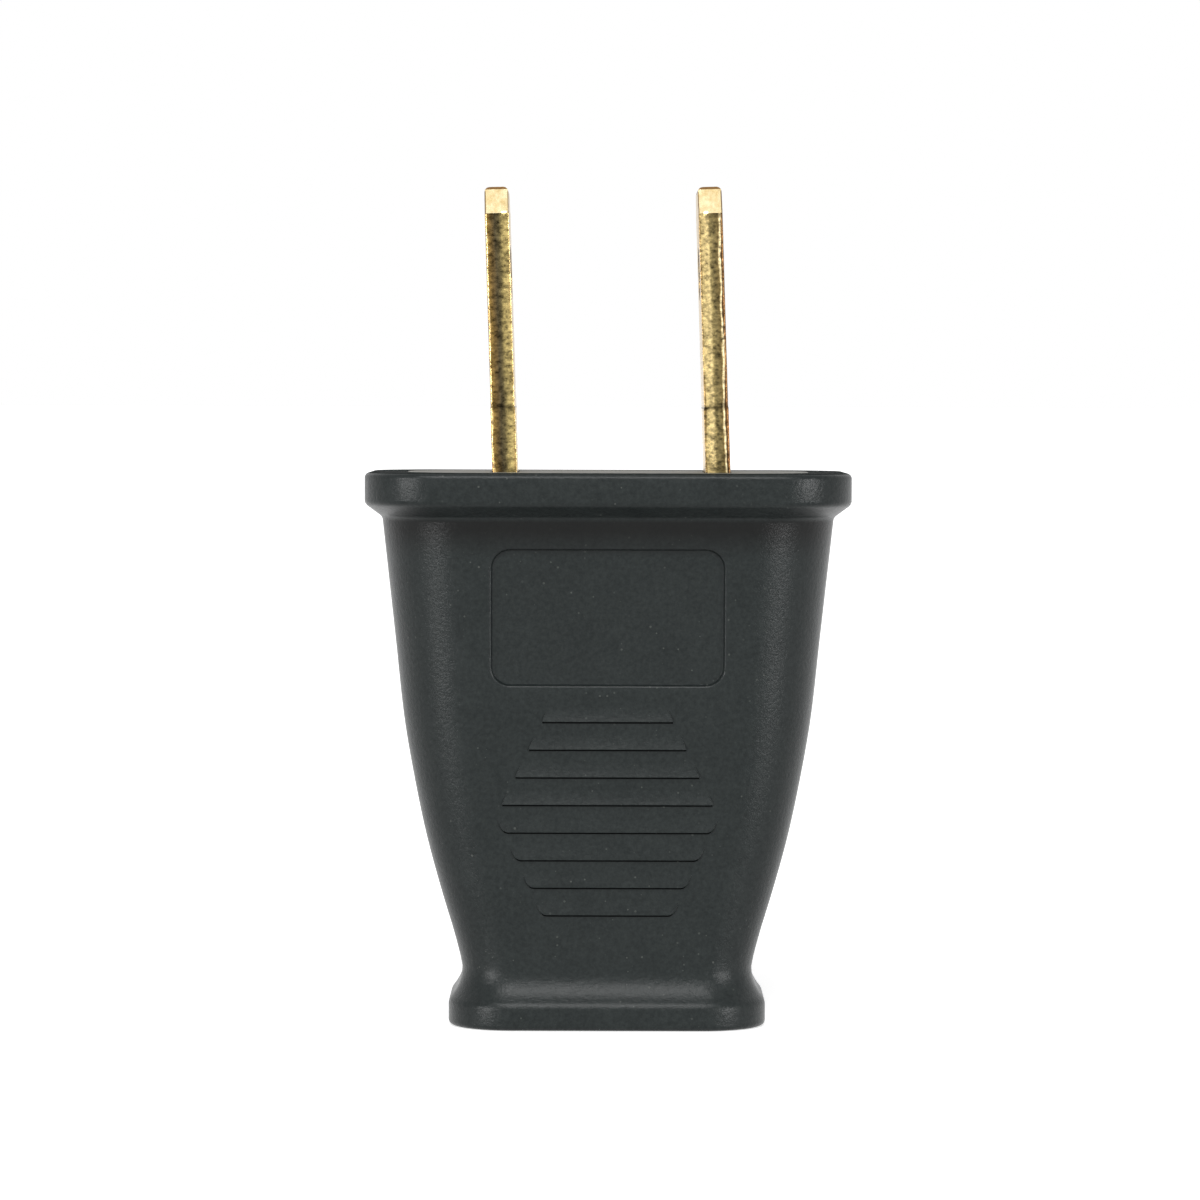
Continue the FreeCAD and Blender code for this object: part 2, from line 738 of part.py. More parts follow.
def make_spring(name, side):
    """Bend one leaf spring: a back leg on the blade's tail, a crown, a nip and a lip."""
    body = new_body(name)
    half = "Dimensions.spring_thickness / 2"
    back = f"(Dimensions.blade_thickness / 2 + {half})"
    foot = "Dimensions.spring_foot_height"
    bend = "Dimensions.spring_bend_height"
    inward = -side
    spine = [
        (f"{inward} * {back}", foot),
        (f"{inward} * {back}", bend),
        (f"{inward} * Dimensions.spring_crown_offset", bend),
        (f"{inward} * Dimensions.spring_crown_offset", "Dimensions.spring_knee_height"),
        (f"{inward} * Dimensions.spring_nip_offset", "Dimensions.spring_nip_height"),
        (f"{inward} * Dimensions.spring_lip_offset", "Dimensions.spring_lip_height"),
    ]
    route = path_of(new_sketch(body, f"{name}Route", "XZ_Plane"), spine, closed=False)
    profile = new_sketch(body, f"{name}Profile", offset=("0", "0", foot))
    left, right = f"{inward} * {back} - {half}", f"{inward} * {back} + {half}"
    near, far = "-Dimensions.spring_width / 2", "Dimensions.spring_width / 2"
    path_of(profile, [(left, near), (right, near), (right, far), (left, far)])
    strip = body.newObject("PartDesign::AdditivePipe", f"{name}Strip")
    strip.Profile = profile
    strip.Spine = (route, [f"Edge{number}" for number in range(1, len(spine))])
    strip.Transition = "Right corner"
    document.recompute()
    low = value_of("Dimensions.spring_lip_height") + SHORT_EDGE
    edges = edge_names(
        strip,
        lambda box: box.YLength > SHORT_EDGE
        and max(box.XLength, box.ZLength) < GEOMETRY_TOLERANCE
        and box.ZMin > low,
    )
    fillet(body, f"{name}Bends", strip, edges, "Dimensions.spring_bend_round")
    lean_into_place(body, side)
    return body


def check_and_write(parts):
    """Stop on any failed object or bad solid, then write one file for each sub-part."""
    document.recompute()
    for item in document.Objects:
        if "Invalid" in item.State or "Error" in item.State:
            raise RuntimeError(f"{item.Name} failed: {item.State}")
    os.makedirs("parts", exist_ok=True)
    for part in parts:
        shape = part.Shape
        if shape.isNull() or not shape.isValid():
            raise RuntimeError(f"{part.Label} has no valid shape")
        box = shape.BoundBox
        print(
            f"{part.Label}: {len(shape.Solids)} solid, {len(shape.Faces)} faces, "
            f"{shape.Volume:.1f} mm3, {box.XLength:.2f} x {box.YLength:.2f} x {box.ZLength:.2f}, "
            f"z {box.ZMin:.2f} to {box.ZMax:.2f}"
        )
        shape.exportStep(os.path.join("parts", f"{part.Label}.step"))


check_and_write(
    [
        make_shell(),
        make_core(),
        make_core_cap(),
        make_blade("hot_blade", -1, "Dimensions.hot_blade_width"),
        make_blade("neutral_blade", 1, "Dimensions.neutral_blade_width"),
        make_spring("hot_spring", -1),
        make_spring("neutral_spring", 1),
    ]
)
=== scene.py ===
"""A polarized plug: soft vinyl shell, rigid core and two stamped brass blades.

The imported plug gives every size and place. This script models the visible pieces
again with rounded edges, sheared brass and moulded detail, dresses them, and sets
them in a plain white studio seen from the photograph's angle. Lengths are metres.
"""

import logging
import math
from contextlib import contextmanager
from dataclasses import dataclass
from enum import Enum
from typing import Callable, Iterator, Sequence

import bmesh
import bpy
from mathutils import Euler, Matrix, Vector


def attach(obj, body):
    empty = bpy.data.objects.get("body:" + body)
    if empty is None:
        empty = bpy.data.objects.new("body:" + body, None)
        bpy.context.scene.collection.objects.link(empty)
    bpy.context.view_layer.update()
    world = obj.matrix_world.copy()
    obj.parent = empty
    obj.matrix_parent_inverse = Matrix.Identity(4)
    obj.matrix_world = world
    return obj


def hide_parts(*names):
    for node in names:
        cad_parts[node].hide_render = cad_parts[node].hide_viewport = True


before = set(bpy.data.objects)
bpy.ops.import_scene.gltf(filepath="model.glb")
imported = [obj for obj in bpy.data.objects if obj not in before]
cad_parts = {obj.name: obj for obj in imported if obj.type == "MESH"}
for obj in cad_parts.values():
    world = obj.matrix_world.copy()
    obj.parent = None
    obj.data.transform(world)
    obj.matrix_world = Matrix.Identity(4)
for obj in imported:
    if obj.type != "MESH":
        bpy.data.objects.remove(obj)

Piece = bpy.types.Object
Finish = bpy.types.Material
Socket = bpy.types.NodeSocket

LOG = logging.getLogger("plug")
MM = 0.001
BODY = "root"
ACROSS = "across"
# Name of the attribute that holds the painted shade in the blades' creases.
CREASE_SHADE = "crease"
SMOOTH_ANGLE = math.radians(32)
NEAR = 0.002 * MM


class Part(Enum):
    """The kinds of mesh element that an edit picks."""

    CORNER = "VERT"
    EDGE = "EDGE"
    FACE = "FACE"


class Joining(Enum):
    """The ways in which one solid changes another."""

    CUT = "DIFFERENCE"
    WELD = "UNION"


@dataclass(frozen=True)
class Section:
    """One level of a rounded column.

    Attributes:
        height: How high the level lies.
        width: Full width along X.
        depth: Full depth along Y.
        corner: Radius of its plan corners.
    """

    height: float
    width: float
    depth: float
    corner: float

    def grown(self, by: float, height: float) -> "Section":
        """Give the same outline, offset outwards and set at another height."""
        return Section(height, self.width + 2 * by, self.depth + 2 * by, self.corner + by)


def pick_only(piece: Piece) -> None:
    """Select one object and make it active, with everything else deselected."""
    bpy.ops.object.select_all(action="DESELECT")
    piece.select_set(True)
    bpy.context.view_layer.objects.active = piece


@contextmanager
def editing(piece: Piece, part: Part) -> Iterator[bmesh.types.BMesh]:
    """Open a piece in edit mode with nothing selected, and close it afterwards.

    Args:
        piece: The mesh object to edit.
        part: The kind of element that the edit picks.
    """
    pick_only(piece)
    bpy.ops.object.mode_set(mode="EDIT")
    bpy.ops.mesh.select_mode(type=part.value)
    bpy.ops.mesh.select_all(action="DESELECT")
    yield bmesh.from_edit_mesh(piece.data)
    bpy.ops.object.mode_set(mode="OBJECT")


def pick(piece: Piece, part: Part, wanted: Callable) -> int:
    """Select the elements that a test accepts, in edit mode.

    Args:
        piece: The mesh object that is being edited.
        part: The kind of element to look through.
        wanted: A test that takes one element.

    Returns:
        How many elements were selected.
    """
    bpy.ops.mesh.select_mode(type=part.value)
    bpy.ops.mesh.select_all(action="DESELECT")
    mesh = bmesh.from_edit_mesh(piece.data)
    mesh.verts.index_update()
    rows = {Part.CORNER: mesh.verts, Part.EDGE: mesh.edges, Part.FACE: mesh.faces}[part]
    chosen = [item for item in rows if wanted(item)]
    for item in chosen:
        item.select_set(True)
    mesh.select_flush_mode()
    bmesh.update_edit_mesh(piece.data)
    return len(chosen)


def settle(piece: Piece) -> None:
    """Put an object's place into its mesh, so that the object sits at the origin."""
    pick_only(piece)
    bpy.ops.object.transform_apply(location=True, rotation=True, scale=True)


def tidy_surface(piece: Piece, angle: float = SMOOTH_ANGLE) -> None:
    """Merge doubles, point the faces outwards and shade the piece smooth by angle."""
    with editing(piece, Part.FACE):
        bpy.ops.mesh.select_all(action="SELECT")
        bpy.ops.mesh.remove_doubles(threshold=NEAR)
        bpy.ops.mesh.normals_make_consistent(inside=False)
    pick_only(piece)
    bpy.ops.object.shade_smooth_by_angle(angle=angle)


def apply_modifier(piece: Piece, kind: str, **settings: object) -> None:
    """Add a modifier, set it up and apply it."""
    modifier = piece.modifiers.new(kind.title(), kind)
    for name, value in settings.items():
        setattr(modifier, name, value)
    pick_only(piece)
    bpy.ops.object.modifier_apply(modifier=modifier.name)


def combine(piece: Piece, tool: Piece, how: Joining) -> None:
    """Cut a tool out of a piece or weld it on, and throw the tool away."""
    apply_modifier(piece, "BOOLEAN", object=tool, operation=how.value, solver="EXACT")
    bpy.data.objects.remove(tool)


def join(pieces: Sequence[Piece]) -> Piece:
    """Join several pieces into the first one."""
    pick_only(pieces[0])
    for piece in pieces[1:]:
        piece.select_set(True)
    bpy.ops.object.join()
    return pieces[0]


def finish_piece(piece: Piece, node: str) -> None:
    """Let a finished piece stand for its node, on the plug's one body."""
    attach(piece, BODY)
    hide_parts(node)
    LOG.info("%s: %d faces", piece.name, len(piece.data.polygons))


@dataclass
class RoundedColumn:
    """A closed solid skinned over levels with rounded corners.

    Attributes:
        name: The new object's name.
        sections: Its levels, from the lowest up.
        corner_steps: Segments in each plan corner.
        front_cuts: Cuts across the front and back runs.
        side_cuts: Cuts across the two side runs.
    """

    name: str
    sections: Sequence[Section]
    corner_steps: int = 12
    front_cuts: int = 0
    side_cuts: int = 0

    def add_level(self, piece: Piece, section: Section) -> int:
        """Add one level's outline as a loop of edges.

        Args:
            piece: The object that is being edited.
            section: The level to add.

        Returns:
            The number of the loop's first vertex.
        """
        first = len(bmesh.from_edit_mesh(piece.data).verts)
        place = (0.0, 0.0, section.height)
        bpy.ops.mesh.primitive_plane_add(size=1.0, location=place)
        bpy.ops.transform.resize(
            value=(section.width, section.depth, 1.0), center_override=place
        )
        bpy.ops.mesh.bevel(
            offset=section.corner, segments=self.corner_steps, profile=0.5, affect="VERTICES"
        )
        bpy.ops.mesh.delete(type="ONLY_FACE")
        for cuts, across, limit in (
            (self.front_cuts, 1, section.depth / 2),
            (self.side_cuts, 0, section.width / 2),
        ):
            if cuts:
                pick(piece, Part.EDGE, self._on_run(first, across, limit))
                bpy.ops.mesh.subdivide(number_cuts=cuts)
        return first

    @staticmethod
    def _on_run(first: int, across: int, limit: float) -> Callable:
        """Make a test for a loop's straight edges that lie at a limit of one axis."""

        def wanted(edge: bmesh.types.BMEdge) -> bool:
            """Say whether both ends of an edge belong to the run."""
            ends = edge.verts
            fresh = all(corner.index >= first for corner in ends)
            at_limit = all(abs(abs(corner.co[across]) - limit) < NEAR for corner in ends)
            return fresh and at_limit and (ends[0].co[across] > 0) == (ends[1].co[across] > 0)

        return wanted

    def build(self) -> Piece:
        """Skin the levels one after another and cap both ends.

        Returns:
            The closed object.
        """
        mesh = bpy.data.meshes.new(self.name)
        piece = bpy.data.objects.new(self.name, mesh)
        bpy.context.scene.collection.objects.link(piece)
        with editing(piece, Part.EDGE):
            starts = [self.add_level(piece, self.sections[0])]
            for section in self.sections[1:]:
                starts.append(self.add_level(piece, section))
                low, middle = starts[-2], starts[-1]
                pick(piece, Part.EDGE, self._in_either(low, middle))
                bpy.ops.mesh.bridge_edge_loops()
            for low, high in ((0, starts[1]), (starts[-1], None)):
                pick(piece, Part.EDGE, self._within(low, high))
                bpy.ops.mesh.edge_face_add()
        tidy_surface(piece)
        return piece

    @staticmethod
    def _within(low: int, high: int | None) -> Callable:
        """Make a test for edges whose two ends are numbered from low up to high."""
        return lambda edge: all(
            corner.index >= low and (high is None or corner.index < high) for corner in edge.verts
        )

    @classmethod
    def _in_either(cls, low: int, middle: int) -> Callable:
        """Make a test for the edges of the last two loops."""
        lower, upper = cls._within(low, middle), cls._within(middle, None)
        return lambda edge: lower(edge) or upper(edge)


@dataclass(frozen=True)
class PlugSizes:
    """The shell's driving sizes, as the plug's maker would give them.

    Attributes:
        height: The shell's height.
        flange_width: Width of the flange round the face.
        flange_depth: Its depth, front to back.
        flange_corner: Its plan corner radius.
        flange_thickness: Its height.
        shoulder_depth: Depth of the body just under the flange.
        shoulder_corner: Plan corner radius there.
        waist_height: Height of the narrowest level.
        waist_depth: Depth there.
        waist_corner: Plan corner radius there.
        cove_radius: Radius of the hollow between the waist and the cord-end flange.
        cove_turn: Angle that the hollow turns through.
        stations: Height and width of the body at its named levels, from the top.
    """

    height: float = 33.0 * MM
    flange_width: float = 28.9 * MM
    flange_depth: float = 17.6 * MM
    flange_corner: float = 4.4 * MM
    flange_thickness: float = 2.7 * MM
    shoulder_depth: float = 15.2 * MM
    shoulder_corner: float = 5.15 * MM
    waist_height: float = 3.5 * MM
    waist_depth: float = 11.6 * MM
    waist_corner: float = 3.0 * MM
    cove_radius: float = 2.8 * MM
    cove_turn: float = math.radians(45)
    stations: tuple[tuple[float, float], ...] = (
        (30.3 * MM, 26.95 * MM),
        (22.9 * MM, 25.3 * MM),
        (18.2 * MM, 24.25 * MM),
        (14.6 * MM, 23.0 * MM),
        (11.2 * MM, 21.55 * MM),
        (8.0 * MM, 19.8 * MM),
        (5.0 * MM, 18.0 * MM),
        (3.5 * MM, 17.3 * MM),
    )

    @property
    def shoulder_height(self) -> float:
        """Height of the flange's underside."""
        return self.height - self.flange_thickness

    @property
    def taper(self) -> float:
        """Angle at which the front leans out towards the face."""
        rise = self.shoulder_height - self.waist_height
        return math.atan((self.shoulder_depth - self.waist_depth) / 2 / rise)

    def share(self, height: float) -> float:
        """Give a height's share of the way from the waist up to the shoulder."""
        return (height - self.waist_height) / (self.shoulder_height - self.waist_height)

    def depth_at(self, height: float) -> float:
        """Give the body's depth at a height; front and back are flat."""
        return self.waist_depth + (self.shoulder_depth - self.waist_depth) * self.share(height)

    def width_at(self, height: float) -> float:
        """Give the body's width at a height, on a smooth curve through the stations."""
        levels = sorted(self.stations)
        slopes = [0.0] * len(levels)
        runs = [
            (levels[i + 1][1] - levels[i][1]) / (levels[i + 1][0] - levels[i][0])
            for i in range(len(levels) - 1)
        ]
        slopes[0], slopes[-1] = runs[0] * 0.6, runs[-1]
        for i in range(1, len(levels) - 1):
            slopes[i] = (runs[i - 1] + runs[i]) / 2
        index = 0
        while index < len(levels) - 2 and height > levels[index + 1][0]:
            index += 1
        (z0, w0), (z1, w1) = levels[index], levels[index + 1]
        span = z1 - z0
        t = (height - z0) / span
        stay, move = 2 * t**3 - 3 * t**2 + 1, -2 * t**3 + 3 * t**2
        leave, arrive = t**3 - 2 * t**2 + t, t**3 - t**2
        return stay * w0 + move * w1 + span * (leave * slopes[index] + arrive * slopes[index + 1])

    def body_at(self, height: float) -> Section:
        """Give the body's section at a height between the waist and the shoulder."""
        corner = self.waist_corner + (self.shoulder_corner - self.waist_corner) * self.share(height)
        return Section(height, self.width_at(height), self.depth_at(height), corner)

    def skin_at(self, height: float) -> float:
        """Give how far out the flat front lies at a height."""
        return self.depth_at(height) / 2


@dataclass
class GripField:
    """The field of wedge-shaped grip bars on the flat front or back.

    Attributes:
        sizes: The shell's driving sizes.
        top: Height of the first bar's upper edge.
        bar_tall: Height of one bar.
        pitch: Spacing of the bars.
        count: How many bars there are.
        proud: How far a bar's lip stands out.
        root: How far a bar reaches under the skin.
        high_half: Half-width of the field at its top.
        low_half: Half-width at its bottom.
        middle_half: Half-width where it is widest.
        middle_drop: How far down it is widest.
        lip_round: Radius of the lip.
        corner_round: Plan radius of the lower corners where the field narrows.
        sharp_round: Plan radius of the lower corners where it widens.
        draft: How far the lip's underside slants out to the skin.
    """

    sizes: PlugSizes
    top: float = 19.2 * MM
    bar_tall: float = 0.84 * MM
    pitch: float = 1.647 * MM
    count: int = 8
    proud: float = 0.2 * MM
    root: float = 0.5 * MM
    high_half: float = 3.5 * MM
    low_half: float = 3.9 * MM
    middle_half: float = 6.6 * MM
    middle_drop: float = 6.5 * MM
    lip_round: float = 0.03 * MM
    corner_round: float = 0.32 * MM
    sharp_round: float = 0.08 * MM
    draft: float = 0.12 * MM

    def half_at(self, drop: float) -> float:
        """Give the field's half-width at a distance below its top."""
        tall = (self.count - 1) * self.pitch + self.bar_tall
        if drop <= self.middle_drop:
            end, share = self.high_half, drop / self.middle_drop
        else:
            end, share = self.low_half, (tall - drop) / (tall - self.middle_drop)
        return end + (self.middle_half - end) * share

    def make_bar(self, index: int) -> Piece:
        """Shape one wedge from a block, in the field's own flat frame.

        The frame has X across, Y down the field and Z out of the skin.
        """
        upper, lower = index * self.pitch, index * self.pitch + self.bar_tall
        thick = self.root + self.proud
        centre = (0.0, (upper + lower) / 2, (self.proud - self.root) / 2)
        bpy.ops.mesh.primitive_cube_add(size=1.0, location=centre)
        bar = bpy.context.object
        bar.scale = (2.0, self.bar_tall, thick)
        settle(bar)
        with editing(bar, Part.CORNER):
            for edge, drop in ((upper, upper), (lower, lower)):
                pick(bar, Part.CORNER, lambda v, y=edge: abs(v.co.y - y) < NEAR)
                bpy.ops.transform.resize(
                    value=(self.half_at(drop), 1.0, 1.0), center_override=(0.0, edge, 0.0)
                )
            pick(bar, Part.CORNER, lambda v: v.co.z > 0 and abs(v.co.y - upper) < NEAR)
            bpy.ops.transform.translate(value=(0.0, 0.0, -self.proud))
            narrowing = self.half_at(lower) < self.half_at(upper)
            plan_round = self.corner_round if narrowing else self.sharp_round
            pick(bar, Part.EDGE, lambda e: self._stands_at(e, lower))
            bpy.ops.mesh.bevel(offset=plan_round, segments=4, profile=0.5, affect="EDGES")
            pick(bar, Part.EDGE, lambda e: self._rims_the_slope(e, upper))
            bpy.ops.mesh.bevel(offset=self.lip_round, segments=3, profile=0.5, affect="EDGES")
            middle = (upper + lower) / 2
            pick(bar, Part.CORNER, lambda v: v.co.z < NEAR - self.root and v.co.y > middle)
            slant = self.draft * thick / self.proud
            bpy.ops.transform.translate(value=(0.0, slant, 0.0))
        return bar

    def is_underside(self, face: bpy.types.MeshPolygon) -> bool:
        """Say whether a face of the finished shell is the underside of a bar's lip."""
        low = self.top - self.count * self.pitch
        x, y, z = face.center
        on_skin = abs(x) < self.middle_half and abs(y) > self.sizes.skin_at(low) - MM
        return on_skin and low < z < self.top and face.normal.z < -0.7

    @staticmethod
    def _stands_at(edge: bmesh.types.BMEdge, y: float) -> bool:
        """Say whether an edge stands upright at one end of the bar's height."""
        a, b = edge.verts[0].co, edge.verts[1].co
        return abs(a.y - y) < NEAR and abs(b.y - y) < NEAR and abs(a.x - b.x) < NEAR

    @staticmethod
    def _rims_the_slope(edge: bmesh.types.BMEdge, upper: float) -> bool:
        """Say whether an edge borders the sloping front anywhere but at its top."""
        facing = sorted(abs(face.normal.z) for face in edge.link_faces)
        at_top = all(abs(corner.co.y - upper) < NEAR for corner in edge.verts)
        outer = all(corner.co.z > -NEAR for corner in edge.verts)
        return outer and not at_top and facing[0] < 0.5 < facing[-1]

    def build(self, facing: int) -> Piece:
        """Set the bars on the front (1) or the back (-1) of the shell."""
        bars = join([self.make_bar(index) for index in range(self.count)])
        out = -self.sizes.skin_at(self.top)
        stand = Matrix.Rotation(math.pi, 4, "Y") @ Matrix.Rotation(math.radians(90), 4, "X")
        lean = Matrix.Rotation(self.sizes.taper, 4, "X")
        place = Matrix.Translation((0.0, out, self.top)) @ lean @ stand
        if facing < 0:
            place = Matrix.Rotation(math.pi, 4, "Z") @ place
        bars.data.transform(place)
        return bars


# Each hollow of the shell: lowest and highest level, width, depth and corner radius, in mm
HOLLOWS = (
    ("face_seat", 31.0, 34.0, 24.2, 12.6, 4.7),
    ("core_seat", 14.0, 31.5, 20.6, 10.6, 2.5),
    ("wiring_space", 5.0, 14.5, 15.0, 7.6, 3.0),
    ("cord_entry", -1.0, 5.5, 8.8, 5.4, 2.6),
)
# The soft edge of the sunk panel: level in shares of its recess, and inset in mm
PANEL_EDGE = (
    (-1.0, 0.17),
    (-0.95, 0.11),
    (-0.8, 0.07),
    (-0.4, 0.04),
    (-0.12, 0.01),
    (-0.03, -0.03),
    (0.04, -0.09),
    (0.1, -0.16),
    (2.0, -0.16),
)


@dataclass
class SoftShell:
    """The one-piece moulded shell.

    Attributes:
        sizes: Its driving sizes.
        finish: The material of its outside.
        face_finish: The material of its flat face about the core.
        step_shadow_finish: The material of the undersides of its grip bars, nearly black as painted
            shadow under the lips.
        rows: Levels skinned between the waist and the shoulder.
    """

    sizes: PlugSizes
    finish: Finish
    face_finish: Finish
    step_shadow_finish: Finish
    rows: int = 44
    cord_end_round: float = 0.3 * MM
    rim_round: float = 0.8 * MM
    neck_height: float = 30.08 * MM
    neck_round: float = 0.5 * MM
    neck_slope: float = math.radians(50)
    upper_round: float = 0.32 * MM
    arc_steps: int = 6
    panel_width: float = 13.8 * MM
    panel_tall: float = 8.14 * MM
    panel_corner: float = 1.15 * MM
    panel_height: float = 24.5 * MM
    panel_recess: float = 0.28 * MM

    def outside(self) -> list[Section]:
        """List the levels of the outside, from the cord end up to the face."""
        s = self.sizes
        waist = s.body_at(s.waist_height)
        grow = s.cove_radius * (1 - math.cos(s.cove_turn))
        full = waist.grown(grow, 0.0)
        levels = []
        for step in range(self.arc_steps + 1):
            turn = math.radians(90) * step / self.arc_steps
            rise = self.cord_end_round * (1 - math.cos(turn))
            levels.append(full.grown(-self.cord_end_round * (1 - math.sin(turn)), rise))
        both = s.cove_radius + self.rim_round
        end_turn = math.acos(1 - grow / both)
        rim_height = s.waist_height - both * math.sin(end_turn)
        for step in range(self.arc_steps):
            turn = end_turn * step / self.arc_steps
            back = self.rim_round * (1 - math.cos(turn))
            levels.append(full.grown(-back, rim_height + self.rim_round * math.sin(turn)))
        cove_steps = 2 * self.arc_steps
        for step in range(cove_steps + 1):
            turn = end_turn * (1 - step / cove_steps)
            out = s.cove_radius * (1 - math.cos(turn))
            levels.append(waist.grown(out, s.waist_height - s.cove_radius * math.sin(turn)))
        tall = self.neck_height - s.waist_height
        for row in range(1, self.rows + 1):
            levels.append(s.body_at(s.waist_height + tall * row / self.rows))
        rim = Section(0.0, s.flange_width, s.flange_depth, s.flange_corner)
        levels += self.neck(levels[-1], rim)
        for step in range(self.arc_steps + 1):
            turn = math.radians(90) * step / self.arc_steps
            back = self.upper_round * (1 - math.cos(turn))
            rise = s.height - self.upper_round * (1 - math.sin(turn))
            levels.append(rim.grown(-back, rise))
        return levels

    def neck(self, body: Section, rim: Section) -> list[Section]:
        """List the levels of the soft slanting neck that leads out to the flange.

        Args:
            body: The body's section where the neck starts.
            rim: The flange's full section.

        Returns:
            The neck's levels, from the lowest up to the flange's upright side.
        """
        reach = (rim.width - body.width) / 2
        curl = self.neck_round * (1 - math.cos(self.neck_slope))
        rise = self.neck_round * math.sin(self.neck_slope)
        straight = (reach - 2 * curl) / math.tan(self.neck_slope)
        steps = self.arc_steps
        turns = [self.neck_slope * step / steps for step in range(1, steps + 1)]
        curl_at = [(1 - math.cos(turn), math.sin(turn)) for turn in turns]
        hollow = [(self.neck_round * out, self.neck_round * up) for out, up in curl_at]
        total = 2 * rise + straight
        crown = [(reach - out, total - up) for out, up in reversed([(0.0, 0.0), *hollow])]
        levels = []
        for out, up in hollow + crown:
            share = out / reach
            levels.append(
                Section(
                    self.neck_height + up,
                    body.width + (rim.width - body.width) * share,
                    body.depth + (rim.depth - body.depth) * share,
                    body.corner + (rim.corner - body.corner) * share,
                )
            )
        return levels

    def panel_cutter(self) -> Piece:
        """Shape the soft-edged block that sinks the bare panel."""
        whole = Section(0.0, self.panel_width, self.panel_tall, self.panel_corner)
        deep = self.panel_recess
        levels = [whole.grown(-inset * MM, level * deep) for level, inset in PANEL_EDGE]
        cutter = RoundedColumn("panel_cutter", levels, corner_steps=8).build()
        stand = Matrix.Rotation(math.radians(90), 4, "X")
        lean = Matrix.Rotation(self.sizes.taper, 4, "X")
        out = -self.sizes.skin_at(self.panel_height)
        cutter.data.transform(Matrix.Translation((0.0, out, self.panel_height)) @ lean @ stand)
        return cutter

    def hollows(self) -> list[Piece]:
        """Make the blocks that hollow the shell for the core, the wiring and the cord."""
        blocks = []
        for name, *sizes in HOLLOWS:
            low, high, width, depth, corner = (size * MM for size in sizes)
            ends = [Section(height, width, depth, corner) for height in (low, high)]
            blocks.append(RoundedColumn(name, ends, corner_steps=10).build())
        return blocks

    def build(self) -> Piece:
        """Model the shell and dress it.

        Returns:
            The finished piece, which stands for the shell node.
        """
        piece = RoundedColumn("soft_shell", self.outside(), 12, 22, 8).build()
        for hollow in self.hollows():
            combine(piece, hollow, Joining.CUT)
        combine(piece, self.panel_cutter(), Joining.CUT)
        grip = GripField(self.sizes)
        for facing in (1, -1):
            combine(piece, grip.build(facing), Joining.WELD)
        tidy_surface(piece)
        piece.data.materials.clear()
        piece.data.materials.append(self.finish)
        piece.data.materials.append(self.face_finish)
        piece.data.materials.append(self.step_shadow_finish)
        rim = self.sizes.height - self.upper_round
        # The flat face about the core gets the matt vinyl, and the undersides of the grip bars'
        # lips get near-black vinyl as painted shadow.
        for face in piece.data.polygons:
            on_face = face.center.z > rim and face.normal.z > 0.8
            face.material_index = 1 if on_face else 2 * int(grip.is_underside(face))
        finish_piece(piece, "shell")
        return piece


def new_material(name: str) -> tuple[Finish, bpy.types.Node]:
    """Start a material.

    Args:
        name: The material's name.

    Returns:
        The material and its surface shader.
    """
    material = bpy.data.materials.new(name)
    material.use_nodes = True
    return material, material.node_tree.nodes["Principled BSDF"]


def add_node(material: Finish, kind: str, **settings: object) -> bpy.types.Node:
    """Add a node to a material and set its properties and inputs by name."""
    node = material.node_tree.nodes.new(kind)
    for name, value in settings.items():
        if hasattr(node, name):
            setattr(node, name, value)
        else:
            node.inputs[name.replace("_", " ")].default_value = value
    return node


def wire(material: Finish, source: Socket, target: Socket) -> None:
    """Link two sockets."""
    material.node_tree.links.new(source, target)


def spread(
    material: Finish,
    value: Socket,
    onto: tuple[float, float],
    span: tuple[float, float] = (0.0, 1.0),
) -> Socket:
    """Stretch a level from one span onto another.

    Args:
        material: The material to add the node to.
        value: The socket that gives the level.
        onto: The two ends that come out.
        span: The two ends that go in.

    Returns:
        The socket that gives the stretched level.
    """
    node = add_node(material, "ShaderNodeMapRange")
    for name, end in zip(("From Min", "From Max", "To Min", "To Max"), (*span, *onto)):
        node.inputs[name].default_value = end
    wire(material, value, node.inputs["Value"])
    return node.outputs["Result"]


def calculate(material: Finish, operation: str, first: Socket, second: Socket) -> Socket:
    """Join two levels by one step of arithmetic."""
    node = add_node(material, "ShaderNodeMath", operation=operation)
    wire(material, first, node.inputs[0])
    wire(material, second, node.inputs[1])
    return node.outputs[0]


def noise(
    material: Finish,
    place: Socket,
    scale: float,
    detail: float,
    roughness: float = 0.5,
    stretch: tuple | None = None,
) -> Socket:
    """Add a noise that may be stretched.

    Args:
        material: The material to add it to.
        place: The coordinates that it follows.
        scale: Its cells in a metre.
        detail: How many finer layers it has.
        roughness: How strong those layers are.
        stretch: Its scale along each axis.

    Returns:
        The socket that gives its level.
    """
    if stretch:
        mapping = add_node(material, "ShaderNodeMapping")
        mapping.inputs["Scale"].default_value = stretch
        wire(material, place, mapping.inputs["Vector"])
        place = mapping.outputs["Vector"]
    cloud = add_node(
        material, "ShaderNodeTexNoise", Scale=scale, Detail=detail, Roughness=roughness
    )
    wire(material, place, cloud.inputs["Vector"])
    return cloud.outputs["Fac"]


def emboss(
    material: Finish, shader: bpy.types.Node, height: Socket, strength: float, depth: float
) -> None:
    """Let a level stand out of the surface as fine relief."""
    bump = add_node(material, "ShaderNodeBump", Strength=strength, Distance=depth)
    wire(material, height, bump.inputs["Height"])
    wire(material, bump.outputs["Normal"], shader.inputs["Normal"])


def make_metal(shader: bpy.types.Node, roughness: float) -> None:
    """Turn a surface shader into bare metal."""
    shader.inputs["Metallic"].default_value = 1.0
    shader.inputs["Roughness"].default_value = roughness


def ramp(material: Finish, stops: Sequence[tuple[float, tuple]]) -> bpy.types.Node:
    """Add a colour ramp with the given stops."""
    node = material.node_tree.nodes.new("ShaderNodeValToRGB")
    elements = node.color_ramp.elements
    while len(elements) < len(stops):
        elements.new(0.5)
    for element, (place, colour) in zip(elements, stops):
        element.position = place
        element.color = (*colour, 1.0)
    return node


